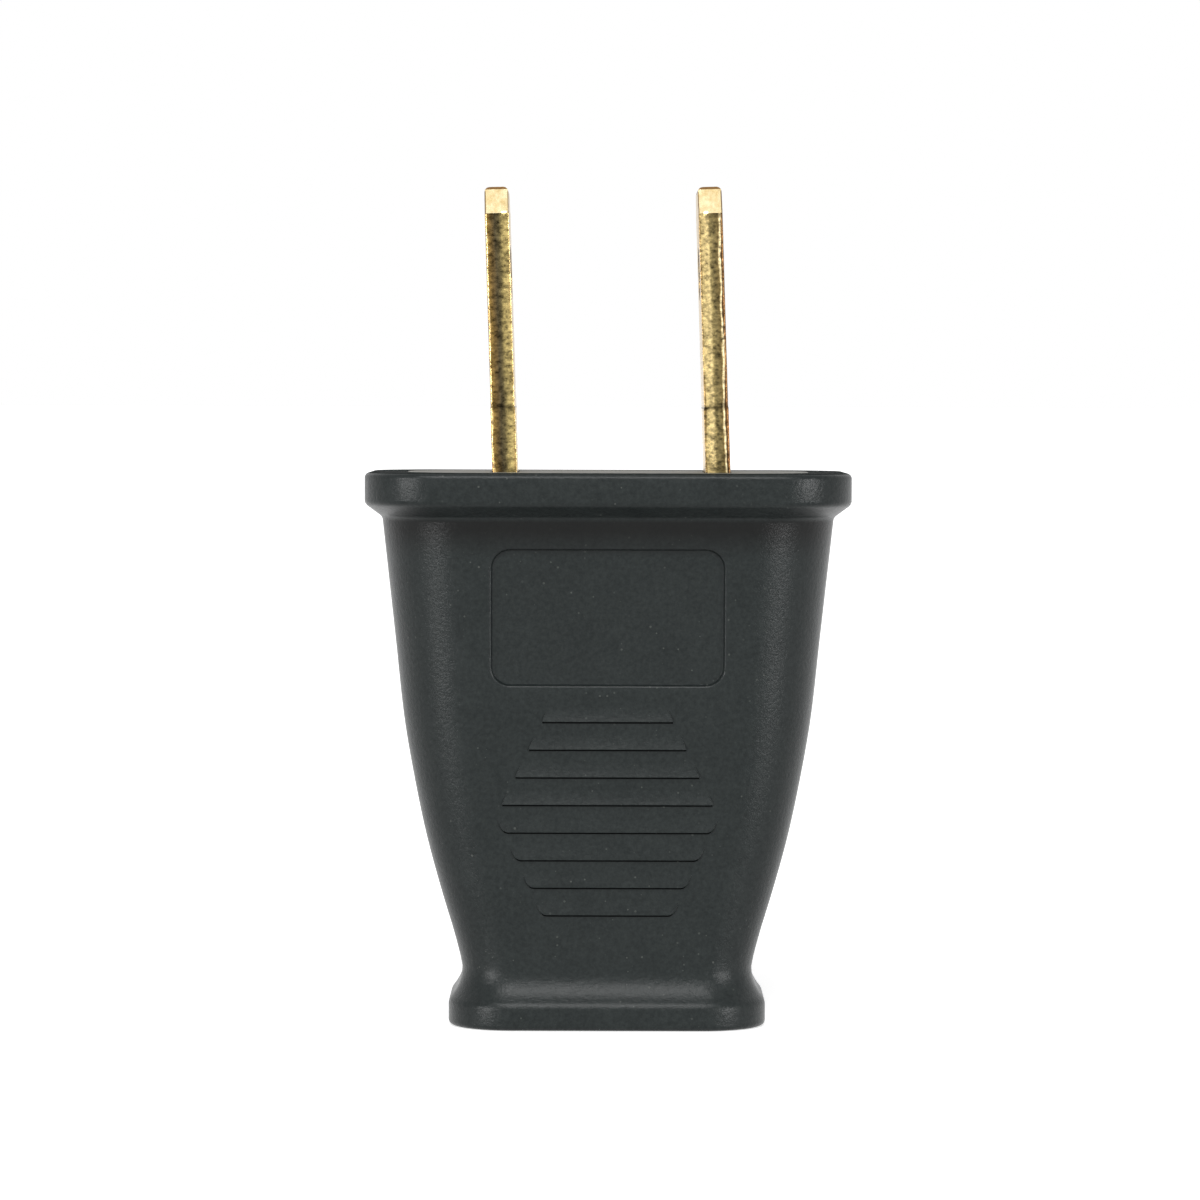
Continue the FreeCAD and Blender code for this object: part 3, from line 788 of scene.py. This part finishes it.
@dataclass(frozen=True)
class SoftVinyl:
    """Charcoal soft vinyl with a fine moulded grain and a little dust, with painted shadow at the
    neck under the face flange.
    """

    name: str = "soft_vinyl"
    colour: tuple = (0.0055, 0.0080, 0.0080)
    mottle: tuple = (0.0150, 0.0188, 0.0184)
    dust: tuple = (0.055, 0.06, 0.055)
    roughness: float = 0.30
    specular: float = 0.20
    mottle_size: float = MM / 0.35
    grain_size: float = 0.24 * MM
    grain_share: float = 0.8
    grain_depth: float = 0.036 * MM
    # Heights of the painted shadow under the face flange: where it starts, where it is darkest, and
    # where it ends.
    neck_shade_bottom: float = 28.0 * MM
    neck_shade_darkest: float = 29.6 * MM
    neck_shade_top: float = 30.35 * MM
    speck_spacing: float = 0.42 * MM
    speck_share: float = 0.17
    fibre_spacing: float = 2.4 * MM
    fibre_share: float = 0.035
    fibre_stretch: tuple = (9.0, 9.0, 0.9)

    def make(self) -> Finish:
        """Build the material.

        Returns:
            The finished material.
        """
        material, shader = new_material(self.name)
        place = add_node(material, "ShaderNodeTexCoord").outputs["Object"]
        mottle = noise(material, place, 1 / self.mottle_size, 5.0, 0.65)
        grain = noise(material, place, 1 / self.grain_size, 4.0, 0.7)
        cloudy = add_node(material, "ShaderNodeMix", data_type="FLOAT")
        cloudy.inputs["Factor"].default_value = self.grain_share
        wire(material, mottle, cloudy.inputs[2])
        wire(material, grain, cloudy.inputs[3])
        tone = ramp(material, [(0.36, self.colour), (0.66, self.mottle)])
        wire(material, cloudy.outputs[0], tone.inputs["Fac"])
        dusted = add_node(material, "ShaderNodeMix", data_type="RGBA")
        specks = self.scatter(material, place, self.speck_spacing, self.speck_share)
        turned = add_node(material, "ShaderNodeMapping")
        turned.inputs["Rotation"].default_value = (0.0, math.radians(25), 0.0)
        turned.inputs["Scale"].default_value = self.fibre_stretch
        wire(material, place, turned.inputs["Vector"])
        along = turned.outputs["Vector"]
        fibres = self.scatter(material, along, self.fibre_spacing, self.fibre_share)
        dust = calculate(material, "MAXIMUM", specks, fibres)
        wire(material, dust, dusted.inputs["Factor"])
        wire(material, tone.outputs["Color"], dusted.inputs[6])
        dusted.inputs[7].default_value = (*self.dust, 1.0)
        # Painted shadow: the colour is darkened by height just under the face flange, where the
        # flange's shadow falls.
        parts = add_node(material, "ShaderNodeSeparateXYZ")
        wire(material, place, parts.inputs["Vector"])
        neck = (self.neck_shade_bottom, self.neck_shade_top)
        rise = spread(material, parts.outputs["Z"], (0.0, 1.0), neck)
        deep = (self.neck_shade_darkest - self.neck_shade_bottom) / (self.neck_shade_top - self.neck_shade_bottom)
        shadow_tone, full = (0.16, 0.15, 0.14), (1.0, 1.0, 1.0)
        hollow = ramp(material, [(0.0, full), (deep, shadow_tone), (0.9, shadow_tone), (1.0, full)])
        wire(material, rise, hollow.inputs["Fac"])
        shown = add_node(material, "ShaderNodeVectorMath", operation="MULTIPLY")
        wire(material, dusted.outputs[2], shown.inputs[0])
        wire(material, hollow.outputs["Color"], shown.inputs[1])
        wire(material, shown.outputs["Vector"], shader.inputs["Base Color"])

        emboss(material, shader, grain, 0.8, self.grain_depth)
        glossier, duller = self.roughness - 0.04, self.roughness + 0.08
        rough = spread(material, mottle, (glossier, duller))
        wire(material, rough, shader.inputs["Roughness"])
        shader.inputs["Specular IOR Level"].default_value = self.specular
        return material

    @staticmethod
    def scatter(
        material: Finish, place: Socket, spacing: float, share: float
    ) -> Socket:
        """Scatter small marks of uneven size, denser in some patches.

        Args:
            material: The material to add the nodes to.
            place: The coordinates that the marks follow.
            spacing: The size of one mark's cell.
            share: How far, in cells, the largest mark reaches.

        Returns:
            The socket that gives how strong the marks are at a point.
        """
        cells = add_node(material, "ShaderNodeTexVoronoi", Scale=1 / spacing, Randomness=1.0)
        wire(material, place, cells.inputs["Vector"])
        reach = add_node(material, "ShaderNodeSeparateColor")
        wire(material, cells.outputs["Color"], reach.inputs["Color"])
        size = spread(material, reach.outputs["Red"], (0.0, share), (0.4, 1.0))
        within = calculate(material, "LESS_THAN", cells.outputs["Distance"], size)
        patches = noise(material, place, 0.22 / MM, 2.0)
        dense = ramp(material, [(0.42, (0.1, 0.1, 0.1)), (0.62, (0.8, 0.8, 0.8))])
        wire(material, patches, dense.inputs["Fac"])
        return calculate(material, "MULTIPLY", within, dense.outputs["Color"])


# Painted shadow: near-black, rough vinyl on the undersides of the grip bars' lips, in place of the
# shadow under each lip.
STEP_SHADOW_VINYL = SoftVinyl(
    "step_shadow_vinyl", (0.0010, 0.0013, 0.0013), (0.0030, 0.0036, 0.0036), roughness=0.8, specular=0.03
)
MATT_VINYL = SoftVinyl("matt_vinyl", roughness=0.8, specular=0.05, grain_depth=0.05 * MM)


@dataclass(frozen=True)
class CorePlastic:
    """Dark grey rigid plastic, matt and slightly uneven."""

    colour: tuple = (0.10, 0.10, 0.088)
    pale: tuple = (0.16, 0.158, 0.14)
    roughness: float = 0.55

    def make(self) -> Finish:
        """Build the material.

        Returns:
            The finished material.
        """
        material, shader = new_material("core_plastic")
        place = add_node(material, "ShaderNodeTexCoord").outputs["Object"]
        tone = ramp(material, [(0.3, self.colour), (0.75, self.pale)])
        wire(material, noise(material, place, 0.5 / MM, 5.0), tone.inputs["Fac"])
        wire(material, tone.outputs["Color"], shader.inputs["Base Color"])
        emboss(material, shader, noise(material, place, 7.0 / MM, 2.0), 0.4, 0.01 * MM)
        shader.inputs["Roughness"].default_value = self.roughness
        return material


def shade(red: int, green: int, blue: int) -> tuple[float, float, float]:
    """Turn a colour as it looks, in steps of 255, into the linear colour of a finish."""

    def linear(level: int) -> float:
        """Turn one channel."""
        share = level / 255
        return share / 12.92 if share <= 0.04045 else ((share + 0.055) / 1.055) ** 2.4

    return linear(red), linear(green), linear(blue)


@dataclass(frozen=True)
class RolledBrass:
    """Rolled brass with fine lines along the strip. Its default colours are held dark, as painted
    shade on the broad faces.
    """

    name: str = "shaded_rolled_brass"
    bright: tuple = shade(214, 186, 130)
    dull: tuple = shade(168, 138, 86)
    line_scale: float = 3.0 / MM
    roughness: float = 0.24

    def make(self) -> Finish:
        """Build the material.

        Returns:
            The finished material.
        """
        material, shader = new_material(self.name)
        place = add_node(material, "ShaderNodeTexCoord").outputs["Object"]
        lines = noise(material, place, self.line_scale, 5.0, 0.6, (1.0, 1.0, 0.07))
        tone = ramp(material, [(0.30, self.dull), (0.62, self.bright)])
        wire(material, lines, tone.inputs["Fac"])
        wire(material, tone.outputs["Color"], shader.inputs["Base Color"])
        emboss(material, shader, lines, 0.7, 0.004 * MM)
        make_metal(shader, self.roughness)
        return material


# A lighter copy of the rolled brass for the tip's two slopes: painted highlight.
LIT_TIP_BRASS = RolledBrass("lit_tip_brass", shade(248, 230, 184), shade(222, 194, 136))


@dataclass(frozen=True)
class ShearedBrass:
    """The stamped edge of a blade: rolled over, burnished, then torn.

    Attributes:
        name: The material's name.
        bands: Colours through the thickness, from the outer broad face (0) to the inner (1); the
            bands on the rounds are painted highlight and painted shade.
        wander: How far the bands stray from their places.
        flecks: How much the torn grain lightens and darkens them.
        relief: Depth of the torn grain.
        roughness: Roughness of the metal.
        crease_shade_tone: What is left of its colour where the painted shade in a crease is
            deepest.
    """

    name: str
    bands: tuple[tuple[float, tuple[float, float, float]], ...]
    wander: float = 0.14
    flecks: float = 1.0
    relief: float = 0.028 * MM
    roughness: float = 0.27
    crease_shade_tone: float = 0.1

    def make(self) -> Finish:
        """Build the material.

        Returns:
            The finished material.
        """
        material, shader = new_material(self.name)
        place = add_node(material, "ShaderNodeTexCoord").outputs["Object"]
        across = add_node(material, "ShaderNodeAttribute")
        across.attribute_name = ACROSS
        streaks = noise(material, place, 1.5 / MM, 4.0, 0.6, (1.0, 1.0, 0.3))
        stray = spread(material, streaks, (-self.wander, self.wander))
        tone = ramp(material, self.bands)
        wire(material, calculate(material, "ADD", across.outputs["Fac"], stray), tone.inputs["Fac"])
        grain = noise(material, place, 3.6 / MM, 4.0, 0.6, (1.0, 1.0, 1.3))
        level = spread(material, grain, (1 - self.flecks, 1 + self.flecks), (0.25, 0.75))
        # Painted shade: the colour is darkened by the crease attribute, over the root's ledge and
        # just under the tip.
        crease = add_node(material, "ShaderNodeAttribute")
        crease.attribute_name = CREASE_SHADE
        clear = spread(material, crease.outputs["Fac"], (1.0, self.crease_shade_tone))
        both = calculate(material, "MULTIPLY", level, clear)
        lit = add_node(material, "ShaderNodeVectorMath", operation="SCALE")
        wire(material, tone.outputs["Color"], lit.inputs[0])
        wire(material, both, lit.inputs["Scale"])
        wire(material, lit.outputs["Vector"], shader.inputs["Base Color"])
        emboss(material, shader, grain, 0.8, self.relief)
        make_metal(shader, self.roughness)
        return material


# Outer side: the first dark band is painted shade on the rolled-over round, and the bright band
# inside it is a painted highlight along that round.
NARROW_EDGE = ShearedBrass(
    "narrow_blade_edge",
    (
        (0.00, shade(146, 114, 68)),
        (0.05, shade(204, 176, 122)),
        (0.10, shade(132, 106, 56)),
        (0.24, shade(104, 84, 50)),
        (0.42, shade(72, 64, 46)),
        (0.56, shade(92, 82, 55)),
        (0.68, shade(146, 130, 83)),
        (0.93, shade(172, 152, 98)),
        (0.98, shade(166, 142, 92)),
    ),
)
# Outer side: the first dark bands are painted shade on the rolled-over round, and the bright bands
# inside them are a painted highlight along it; the dark last band is painted shade on the burr.
WIDE_EDGE = ShearedBrass(
    "wide_blade_edge",
    (
        (0.00, shade(104, 74, 46)),
        (0.10, shade(88, 64, 38)),
        (0.13, shade(252, 232, 184)),
        (0.17, shade(228, 206, 154)),
        (0.22, shade(110, 94, 58)),
        (0.45, shade(116, 103, 68)),
        (0.55, shade(142, 126, 83)),
        (0.63, shade(204, 182, 128)),
        (0.92, shade(192, 170, 116)),
        (0.97, shade(126, 104, 66)),
    ),
)


@dataclass(frozen=True)
class ShadedRim:
    """Brown brass on the narrow rounds about a blade's tip, darkened as painted shade."""

    colour: tuple = shade(112, 84, 50)
    roughness: float = 0.4

    def make(self) -> Finish:
        """Build the material."""
        material, shader = new_material("shaded_rim")
        shader.inputs["Base Color"].default_value = (*self.colour, 1.0)
        make_metal(shader, self.roughness)
        return material


@dataclass(frozen=True)
class SpringBronze:
    """Bent bronze strip."""

    bright: tuple = (0.72, 0.47, 0.27)
    dull: tuple = (0.42, 0.26, 0.14)
    roughness: float = 0.35

    def make(self) -> Finish:
        """Build the material.

        Returns:
            The finished material.
        """
        material, shader = new_material("spring_bronze")
        place = add_node(material, "ShaderNodeTexCoord").outputs["Object"]
        tone = ramp(material, [(0.35, self.dull), (0.7, self.bright)])
        wire(material, noise(material, place, 1.2 / MM, 4.0), tone.inputs["Fac"])
        wire(material, tone.outputs["Color"], shader.inputs["Base Color"])
        make_metal(shader, self.roughness)
        return material


@dataclass
class Blade:
    """One stamped blade: tail, root, strip, chamfered tip, hole and torn edges.

    It is modelled upright about its pivot and leaned as a last step.

    Attributes:
        name: The new object's name.
        node: The node that it stands for.
        side: -1 for the narrow blade at the left, 1 for the wide one.
        width: Full width of the strip.
        broad_finish: The material of its rolled faces, held darker as painted shade.
        edge_finish: The material of its sheared edges.
        rim_shade_finish: The material of the narrow rounds about its tip, dark as painted shade.
        tip_highlight_finish: The material of the tip's two bright slopes, a lighter copy of the
            rolled brass as painted highlight.
    """

    name: str
    node: str
    side: int
    width: float
    broad_finish: Finish
    edge_finish: Finish
    rim_shade_finish: Finish
    tip_highlight_finish: Finish
    spacing: float = 12.7 * MM
    length: float = 17.0 * MM
    thickness: float = 1.42 * MM
    root_thickness: float = 1.48 * MM
    root_height: float = 3.9 * MM
    pivot_height: float = 5.5 * MM
    lean: float = math.radians(1.87)
    tip_rise: float = 1.6 * MM
    tip_inset: float = 1.1 * MM
    tip_round: float = 0.3 * MM
    tail_width: float = 8.5 * MM
    tail_top: float = 4.23 * MM
    tail_length: float = 11.4 * MM
    hole_radius: float = 1.6 * MM
    hole_height: float = 11.9 * MM
    rollover: float = 0.11 * MM
    burr: float = 0.045 * MM
    neck_step: float = 0.06 * MM
    ledge: float = 0.06 * MM
    # Reach, slant and depth of the painted shade over the root's ledge; tip_shade is the painted
    # shade under the tip.
    crease_reach: float = 0.16 * MM
    crease_slant: float = 0.12
    crease_shade_depth: float = 0.95
    tip_shade: float = 0.5
    length_cuts: int = 130
    thickness_cuts: int = 12
    tear_start: float = 0.5
    tear: float = 0.035 * MM
    shell_height: float = 33.0 * MM

    def extrude_up(self, piece: Piece, rise: float, narrow: float = 1.0, thin: float = 1.0) -> None:
        """Extrude the topmost face upwards and scale it to a new width and thickness."""
        top = max(v.co.z for v in bmesh.from_edit_mesh(piece.data).verts)
        pick(piece, Part.FACE, lambda f: all(abs(v.co.z - top) < NEAR for v in f.verts))
        bpy.ops.mesh.extrude_region_move(TRANSFORM_OT_translate={"value": (0.0, 0.0, rise)})
        bpy.ops.transform.resize(value=(thin, narrow, 1.0), center_override=(0.0, 0.0, top + rise))

    def strip(self) -> Piece:
        """Shape the blank from the tail up to the tip by extruding its end face."""
        neck = self.pivot_height + self.tail_top
        low = -(neck + self.tail_length)
        bpy.ops.mesh.primitive_cube_add(size=1.0, location=(0.0, 0.0, low + self.tail_length / 2))
        piece = bpy.context.object
        piece.name = self.name
        piece.scale = (self.thickness, self.tail_width, self.tail_length)
        settle(piece)
        with editing(piece, Part.FACE):
            thicker = self.root_thickness / self.thickness
            self.extrude_up(piece, self.neck_step, self.width / self.tail_width, thicker)
            self.extrude_up(piece, self.tail_top + self.root_height - self.neck_step - self.ledge)
            self.extrude_up(piece, self.ledge, 1.0, 1 / thicker)
            shoulder = self.length - self.root_height - self.tip_rise
            self.extrude_up(piece, shoulder)
            straight = self.tip_rise - self.tip_round
            rows = [(straight, 0.0)]
            for turn in (30, 60, 90):
                up, back = math.sin(math.radians(turn)), 1 - math.cos(math.radians(turn))
                rows.append((straight + self.tip_round * up, self.tip_round * back))
            done, narrow, thin = 0.0, 1.0, 1.0
            for rise, inset in rows:
                narrower = 1 - 2 * self.tip_inset / self.width * rise / self.tip_rise
                thinner = 1 - 2 * inset / self.thickness
                self.extrude_up(piece, rise - done, narrower / narrow, thinner / thin)
                done, narrow, thin = rise, narrower, thinner
        return piece

    def soften(self, piece: Piece) -> None:
        """Round the long edges: wide on the outer side, where the punch drew the metal in."""
        out = self.side
        neck = -(self.pivot_height + self.tail_top)

        def long_edge(sign: int) -> Callable:
            """Make a test for the strip's long edges on one side of its thickness."""
            return lambda e: all(
                v.co.x * sign > 0 and v.co.z > neck + NEAR and abs(v.co.y) > 0.2 * self.width
                for v in e.verts
            ) and abs(e.verts[0].co.z - e.verts[1].co.z) > 0.2 * MM

        with editing(piece, Part.EDGE):
            pick(piece, Part.EDGE, long_edge(out))
            bpy.ops.mesh.bevel(offset=self.rollover, segments=4, profile=0.5, affect="EDGES")
            pick(piece, Part.EDGE, long_edge(-out))
            bpy.ops.mesh.bevel(offset=self.burr, segments=2, profile=0.5, affect="EDGES")

    def divide(self, piece: Piece) -> None:
        """Cut the blank into fine bands along its length and through its thickness."""
        base = -self.pivot_height
        with editing(piece, Part.FACE):
            for step in range(1, self.length_cuts):
                z = base + self.length * step / self.length_cuts
                bpy.ops.mesh.select_all(action="SELECT")
                bpy.ops.mesh.bisect(plane_co=(0.0, 0.0, z), plane_no=(0.0, 0.0, 1.0))
            for step in range(1, self.thickness_cuts):
                x = self.thickness * (step / self.thickness_cuts - 0.5)
                bpy.ops.mesh.select_all(action="SELECT")
                bpy.ops.mesh.bisect(plane_co=(x, 0.0, 0.0), plane_no=(1.0, 0.0, 0.0))

    def across(self, x: float) -> float:
        """Give a place's share of the way through the blade, from its outer face to its inner."""
        return 0.5 - self.side * x / self.thickness

    def tear_edges(self, piece: Piece) -> None:
        """Roughen the torn zone of both sheared edges with a fine displacement."""
        group = piece.vertex_groups.new(name="torn")
        for vertex in piece.data.vertices:
            x, y, z = vertex.co
            on_edge = abs(y) > self.width / 2 - self.rollover * 1.2 or z > self._tip_start()
            if on_edge and z > -self.pivot_height + 0.1 * MM:
                torn = self.across(x) > self.tear_start
                group.add([vertex.index], 1.0 if torn else 0.3, "REPLACE")
        texture = bpy.data.textures.new(f"{self.name}_tear", "CLOUDS")
        texture.noise_scale = 0.22 * MM
        texture.noise_depth = 2
        apply_modifier(
            piece, "DISPLACE", texture=texture, strength=self.tear, mid_level=0.5,
            vertex_group="torn", texture_coords="LOCAL",
        )

    def _tip_top(self) -> float:
        """Give the height of the blade's end."""
        return self.length - self.pivot_height

    def _tip_start(self) -> float:
        """Give the height at which the tip's chamfers start."""
        return self._tip_top() - self.tip_rise

    def drill(self, piece: Piece) -> None:
        """Punch the hole near the tip."""
        place = (0.0, 0.0, self.hole_height - self.pivot_height)
        bpy.ops.mesh.primitive_cylinder_add(
            vertices=48, radius=self.hole_radius, depth=4 * MM, location=place,
            rotation=(0.0, math.radians(90), 0.0),
        )
        punch = bpy.context.object
        settle(punch)
        combine(piece, punch, Joining.CUT)

    def dress(self, piece: Piece) -> None:
        """Mark each point's place through the thickness and how deep its painted crease shade is,
        and give the faces their materials.
        """
        for name in (ACROSS, CREASE_SHADE):
            piece.data.attributes.new(name, "FLOAT", "POINT")
        across, crease = (piece.data.attributes[name].data for name in (ACROSS, CREASE_SHADE))
        for index, vertex in enumerate(piece.data.vertices):
            across[index].value = self.across(vertex.co.x)
            crease[index].value = self.crease_shade_at(vertex.co)
        piece.data.materials.clear()
        for finish in (self.broad_finish, self.edge_finish, self.rim_shade_finish, self.tip_highlight_finish):
            piece.data.materials.append(finish)
        # Broad faces take the darker brass (painted shade), the tip's slopes the lighter copy
        # (painted highlight), and the tip's rounds the brown rim (painted shade).
        for face in piece.data.polygons:
            broad = abs(face.normal.x) > 0.97
            at_tip = face.center.z > self._tip_start() + NEAR
            at_end = face.center.z > self._tip_top() - self.tip_round / 2
            on_rim = abs(face.normal.x) > 0.2 or at_end
            if broad:
                face.material_index = 0
            elif at_tip and face.normal.z < 0.9:
                face.material_index = 2 if on_rim else 3
            else:
                face.material_index = 1

    def crease_shade_at(self, place: Vector) -> float:
        """Give how dark the metal is painted at a place: painted shade in the crease over the root
        and just under the tip.
        """
        ledge = self.root_height - self.pivot_height + self.crease_slant * self.side * place.x
        share = self.across(place.x)
        deep = self.crease_shade_depth * (0.75 + 0.25 * math.cos(9 * share + self.side) ** 2)
        root = math.exp(-(((place.z - ledge) / self.crease_reach) ** 2)) * deep
        below = (self._tip_start() - place.z) / (2 * self.crease_reach)
        return max(root, self.tip_shade * math.exp(-below * below))

    def build(self) -> Piece:
        """Model the blade, lean it into its slot and dress it.

        Returns:
            The finished piece, which stands for its node.
        """
        piece = self.strip()
        self.soften(piece)
        self.divide(piece)
        self.tear_edges(piece)
        self.drill(piece)
        tidy_surface(piece)
        self.dress(piece)
        place = Matrix.Translation(
            (self.side * self.spacing / 2, 0.0, self.shell_height + self.pivot_height)
        )
        piece.data.transform(place @ Matrix.Rotation(-self.lean, 4, "Y"))
        finish_piece(piece, self.node)
        return piece


@dataclass
class Studio:
    """The plain white studio: floor, world, lamps and the photograph's camera.

    Attributes:
        pixels_per_mm: Scale of the photograph at the blades' plane.
        frame_pixels: The photograph's width in pixels.
        distance: How far the camera stands from the blades' plane.
        eye_height: The camera's height above the floor.
        aim: The point at the middle of the frame.
        roll: How far the camera is turned about its own axis.
        sensor: Width of the camera's sensor, in the lens's own millimetres.
        lamps: Each lamp's name, azimuth, elevation, spread and strength.
        lamp_distance: How far off the lamps are drawn.
        world_light: Strength of the soft light from all round.
        floor_glow: What the floor adds to itself, so that it looks white.
        floor_size: The floor's width.
        floor_gap: How far the floor lies below the plug.
    """

    pixels_per_mm: float = 16.6
    frame_pixels: float = 1200.0
    distance: float = 0.300
    eye_height: float = 37.4 * MM
    aim: tuple = (-0.47 * MM, 0.0, 25.27 * MM)
    roll: float = math.radians(0.15)
    sensor: float = 36.0
    lamps: tuple[tuple[str, float, float, float, float], ...] = (
        ("left_lamp", -48, 2, 16, 2.15),
        ("right_lamp", 48, 2, 16, 2.2),
        ("top_lamp", -6, 41, 32, 2.2),
    )
    lamp_distance: float = 0.5
    world_light: float = 0.22
    floor_glow: float = 0.7
    floor_size: float = 40.0
    floor_gap: float = 0.05 * MM

    def camera(self) -> None:
        """Stand the camera where the photographer's was."""
        eye = Vector((self.aim[0], -self.distance, self.eye_height))
        data = bpy.data.cameras.new("photo_camera")
        data.sensor_width = self.sensor
        reach = (Vector(self.aim) - eye).length
        data.lens = self.pixels_per_mm / MM * reach / self.frame_pixels * self.sensor
        data.clip_start, data.clip_end = 0.01, 20.0
        camera = bpy.data.objects.new("photo_camera", data)
        camera.location = eye
        look = (Vector(self.aim) - eye).to_track_quat("-Z", "Y")
        camera.rotation_mode = "QUATERNION"
        camera.rotation_quaternion = look @ Euler((0.0, 0.0, self.roll)).to_quaternion()
        bpy.context.scene.collection.objects.link(camera)
        bpy.context.scene.camera = camera

    def lamp(
        self, name: str, azimuth: float, elevation: float, spread_angle: float, strength: float
    ) -> None:
        """Add one far, broad lamp that shines at the plug.

        Args:
            name: The lamp's name.
            azimuth: Degrees round from the front, to the right.
            elevation: Degrees above the floor.
            spread_angle: How many degrees wide the lamp looks.
            strength: Light that it gives a surface facing it.
        """
        data = bpy.data.lights.new(name, "SUN")
        data.angle = math.radians(spread_angle)
        data.energy = strength
        a, e = math.radians(azimuth), math.radians(elevation)
        out = Vector((math.sin(a) * math.cos(e), -math.cos(a) * math.cos(e), math.sin(e)))
        lamp = bpy.data.objects.new(name, data)
        lamp.location = Vector((0.0, 0.0, 20 * MM)) + out * self.lamp_distance
        lamp.rotation_mode = "QUATERNION"
        lamp.rotation_quaternion = (-out).to_track_quat("-Z", "Y")
        bpy.context.scene.collection.objects.link(lamp)

    @staticmethod
    def seen(owner: Finish | bpy.types.World) -> Socket:
        """Add nodes that tell rays that look at the studio from rays that light the plug.

        Args:
            owner: The material or the world that gets the nodes.

        Returns:
            The socket that is 1 for camera, glossy and transmission rays.
        """
        path = add_node(owner, "ShaderNodeLightPath")
        looking = path.outputs["Is Camera Ray"]
        for name in ("Is Glossy Ray", "Is Transmission Ray"):
            looking = calculate(owner, "MAXIMUM", looking, path.outputs[name])
        return looking

    def world(self) -> None:
        """Surround the plug with white, and light it softly."""
        world = bpy.data.worlds.new("white_studio")
        world.use_nodes = True
        bpy.context.scene.world = world
        nodes, links = world.node_tree.nodes, world.node_tree.links
        soft, white = nodes["Background"], nodes.new("ShaderNodeBackground")
        soft.inputs["Color"].default_value = (1.0, 1.0, 1.0, 1.0)
        soft.inputs["Strength"].default_value = self.world_light
        mix = nodes.new("ShaderNodeMixShader")
        links.new(self.seen(world), mix.inputs[0])
        links.new(soft.outputs[0], mix.inputs[1])
        links.new(white.outputs[0], mix.inputs[2])
        white.inputs["Color"].default_value = (1.0, 1.0, 1.0, 1.0)
        white.inputs["Strength"].default_value = 1.0
        links.new(mix.outputs[0], nodes["World Output"].inputs["Surface"])

    def floor(self) -> None:
        """Lay a white floor that keeps the plug's soft shadow."""
        bpy.ops.mesh.primitive_plane_add(size=self.floor_size, location=(0.0, 0.0, -self.floor_gap))
        floor = bpy.context.object
        floor.name = "studio_floor"
        material, shader = new_material("studio_floor")
        shader.inputs["Base Color"].default_value = (0.9, 0.9, 0.9, 1.0)
        shader.inputs["Roughness"].default_value = 0.9
        shader.inputs["Specular IOR Level"].default_value = 0.0
        glow = add_node(material, "ShaderNodeEmission")
        glow.inputs["Strength"].default_value = self.floor_glow
        lit_or_white = add_node(material, "ShaderNodeMixShader")
        plain = add_node(material, "ShaderNodeAddShader")
        output = material.node_tree.nodes["Material Output"]
        wire(material, shader.outputs[0], plain.inputs[0])
        wire(material, glow.outputs[0], plain.inputs[1])
        wire(material, self.seen(material), lit_or_white.inputs[0])
        wire(material, shader.outputs[0], lit_or_white.inputs[1])
        wire(material, plain.outputs[0], lit_or_white.inputs[2])
        wire(material, lit_or_white.outputs[0], output.inputs["Surface"])
        floor.data.materials.append(material)

    def build(self) -> None:
        """Set up the whole studio."""
        self.camera()
        self.world()
        self.floor()
        for lamp in self.lamps:
            self.lamp(*lamp)
        bpy.context.scene.view_settings.view_transform = "Standard"


def dress_node(name: str, material: Finish) -> None:
    """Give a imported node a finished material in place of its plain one."""
    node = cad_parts[name]
    if not node.material_slots:
        node.data.materials.append(material)
    for slot in node.material_slots:
        slot.material = material


def main() -> None:
    """Build the plug's pieces in order, then the studio."""
    logging.basicConfig(level=logging.INFO)
    bpy.ops.object.select_all(action="DESELECT")
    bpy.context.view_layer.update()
    sizes = PlugSizes()
    # The blades' brass: a darker copy for the broad faces as painted shade, a lighter copy for the
    # tip's slopes as painted highlight, and brown tip rounds as painted shade.
    rolled, fresh, rim = RolledBrass().make(), LIT_TIP_BRASS.make(), ShadedRim().make()
    plastic, bronze = CorePlastic().make(), SpringBronze().make()
    SoftShell(sizes, SoftVinyl().make(), MATT_VINYL.make(), STEP_SHADOW_VINYL.make()).build()
    narrow_edge, wide_edge = NARROW_EDGE.make(), WIDE_EDGE.make()
    Blade("narrow_blade", "hot_blade", -1, 6.35 * MM, rolled, narrow_edge, rim, fresh).build()
    Blade("wide_blade", "neutral_blade", 1, 7.94 * MM, rolled, wide_edge, rim, fresh).build()
    for name in ("core", "core_cap"):
        dress_node(name, plastic)
    for name in ("hot_spring", "neutral_spring"):
        dress_node(name, bronze)
    Studio().build()


if __name__ == "__main__":
    main()
